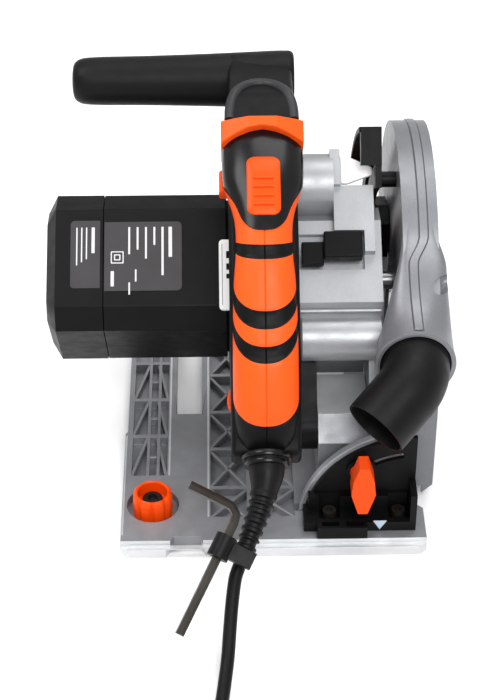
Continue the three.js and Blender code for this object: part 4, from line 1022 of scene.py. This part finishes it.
def rail_cam_knob(name, node, y):
    """Fluted hollow knob with a screw at the bottom of its recess."""
    rings = []
    count = 96
    for r, z, flute in CAM_PROFILE:
        ring = []
        for k in range(count):
            a = 2 * math.pi * k / count
            local_r = r - FLUTE_DEPTH * flute * max(0, math.cos(a * FLUTES)) ** 2
            ring.append((CAM_X + local_r * math.cos(a), y + local_r * math.sin(a), z))
        rings.append(ring)
    piece = loft(name, rings, "orange_knob", BODY_OF[node], "orange_plastic")
    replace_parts(piece, node)
    lathe(name + "_screw", "z", CAM_X, y, CAM_SCREW, "dark_steel", BODY_OF[node], "blackened_steel",
          count=24)


BOX_FACES = [(0, 1, 2, 3), (4, 5, 6, 7), (0, 1, 5, 4), (1, 2, 6, 5), (2, 3, 7, 6), (3, 0, 4, 7)]


def base_ribs():
    """Diagonal stiffening ribs in the base plate's pockets."""
    half = 1.1
    low, high = 3.9, 9.5
    lines = []
    for y0, y1 in ((-84, -46), (-43, -8), (-5, 32), (63, 92)):
        lines += [(-90, y0, -80.5, y1), (-67.5, y0, -74, y1)]
        lines += [(-80.5, (y0 + y1) / 2, -74, (y0 + y1) / 2)]
    for y0, y1 in ((-124, -98), (-95, -60), (-57, -22), (-19, 18), (21, 58), (61, 98)):
        lines += [(-39, y0, -16, y1), (-39, y1, -16, y0), (-13, y0, 14, y1), (-13, y1, 14, y0)]
    lines += [(20, 56, 84, 108), (20, 108, 84, 56)]
    verts, faces = [], []
    for xa, ya, xb, yb in lines:
        direction = Vector((xb - xa, yb - ya, 0)).normalized()
        aside = Vector((-direction.y, direction.x, 0)) * half
        a, b = Vector((xa, ya, 0)), Vector((xb, yb, 0))
        n = len(verts)
        for z in (low, high):
            for p in (a - aside, a + aside, b + aside, b - aside):
                verts.append((p.x, p.y, z))
        faces += [[n + corner for corner in box_face] for box_face in BOX_FACES]
    ribs = make("base_ribs", verts, faces, "alloy", "base", "base_alloy")
    soften(ribs, 0.5, 2)


# (x0, x1, y0, y1, height of the face the strip lies on)
TRIM = [(-66.2, -65, -84, 144, 9.95), (-41, -39.8, -124, 144, 9.95), (-94.6, -93.6, -140, -44, 9.95),
        (-90, 90, -149.6, -146.2, 6.55)]


def base_trim():
    """Machined bright strips along the base plate's edges and beside the rail band."""
    strips = []
    for k, (x0, x1, y0, y1, z) in enumerate(TRIM):
        strips.append(prism(f"edge_{k}", [(x0, y0), (x1, y0), (x1, y1), (x0, y1)], "z", z - 0.5, z + 0.12,
                            "machined_and_painted_light", "base", "base_alloy"))
    merge(*strips)


def bracket_mark():
    """Small pale triangle that points at the bevel setting."""
    x, y, z = 66, -139.2, 15.2
    triangle = [(x - 4.2, z + 3.6), (x + 4.2, z + 3.6), (x, z - 3.4)]
    prism("bevel_mark", triangle, "y", y - 0.25, y + 0.2, "print_blue", "base", "black_plastic")


def housing_ridges():
    """Two half-round cast ridges across the gear housing."""
    for k, (u, w) in enumerate(((62, 44.9), (52.5, 35.5))):
        path = [Vector((x, u, w)) for x in range(18, 69, 2)]
        loft(f"housing_ridge_{k}", sweep_rings(path, 1.1, 12), "silver", "saw_unit", "cast_alloy", UNIT,
             sharp=60)


# node: width in mm of its rounded edges
REFINED = {
    "rear_bevel_bracket": 0.8, "front_bevel_bracket": 0.8, "rear_sector": 0.6, "front_sector": 0.6,
    "depth_scale": 0.9, "depth_stop": 0.5, "depth_stop_knob": 0.8, "motor_housing": 0.8,
    "motor_end_cap": 0.8, "spindle_lock": 1.0, "depth_pointer": 0.9, "trigger": 1.2, "lock_button": 1.8,
    "speed_dial": 0.6, "key_holder": 0.6, "switch_unit": 0.5,
}
# nodes that keep the CAD shape, most of them inside
PLAIN = [
    "rear_bracket_screw_left", "rear_bracket_screw_right", "front_bracket_screw_left",
    "front_bracket_screw_right", "pivot_pin", "return_spring", "stator", "armature_core", "commutator",
    "fan", "motor_bearing_outer", "motor_bearing_inner", "brush_upper", "brush_lower", "armature_shaft",
    "spindle_gear", "spindle_shaft", "spindle_bearing", "inner_flange", "outer_flange", "blade_bolt",
    "blade", "hex_key",
]


make_camera()
make_studio()
cords()
grip_shell()
switch_bezel()
slide_switch()
handle_core()
front_handle()
collar()
strain_relief()
motor_labels()
motor_flange()
handle_badge()
cover_shell = blade_cover()
flared_collar = cover_flare()
crest_band(cover_shell, flared_collar)
cover_details()
barrel_skirt()
dust_elbow()
rail_cam_knob("rear_cam_knob_shape", "rear_rail_cam_knob", -112)
rail_cam_knob("front_cam_knob_shape", "front_rail_cam_knob", 116)
base_ribs()
base_trim()
bracket_mark()
housing_ridges()
for node_name, edge_width in REFINED.items():
    refined(node_name, edge_width)
# The frame casting's top faces take the bright alloy look as painted light: they lie in the saw unit's
# shadow, and this colour paints them as lit.
refined("frame_casting", 1.6, "alloy", patch=("machined_and_painted_light", lambda p: p.z > 62 and p.x < 61))
refined("base_plate", 0.6, flatten=False, patch=("machined_and_painted_light", lambda p: p.y < -145.4 and p.z > 0.4))
refined("rear_bevel_knob", 1.4, patch=("black", lambda p: p.y > -125.5))
refined("front_bevel_knob", 1.4, patch=("black", lambda p: p.y < 132.5))
# The gear housing's left ear beside the pivot takes the black look as painted shade for the shadow under
# the barrel.
refined("gear_housing", 1.5, patch=("black", lambda p: p.x < 29 and (p - PIVOT).yz.length < 47))
for node_name in PLAIN:
    refined(node_name, 0)
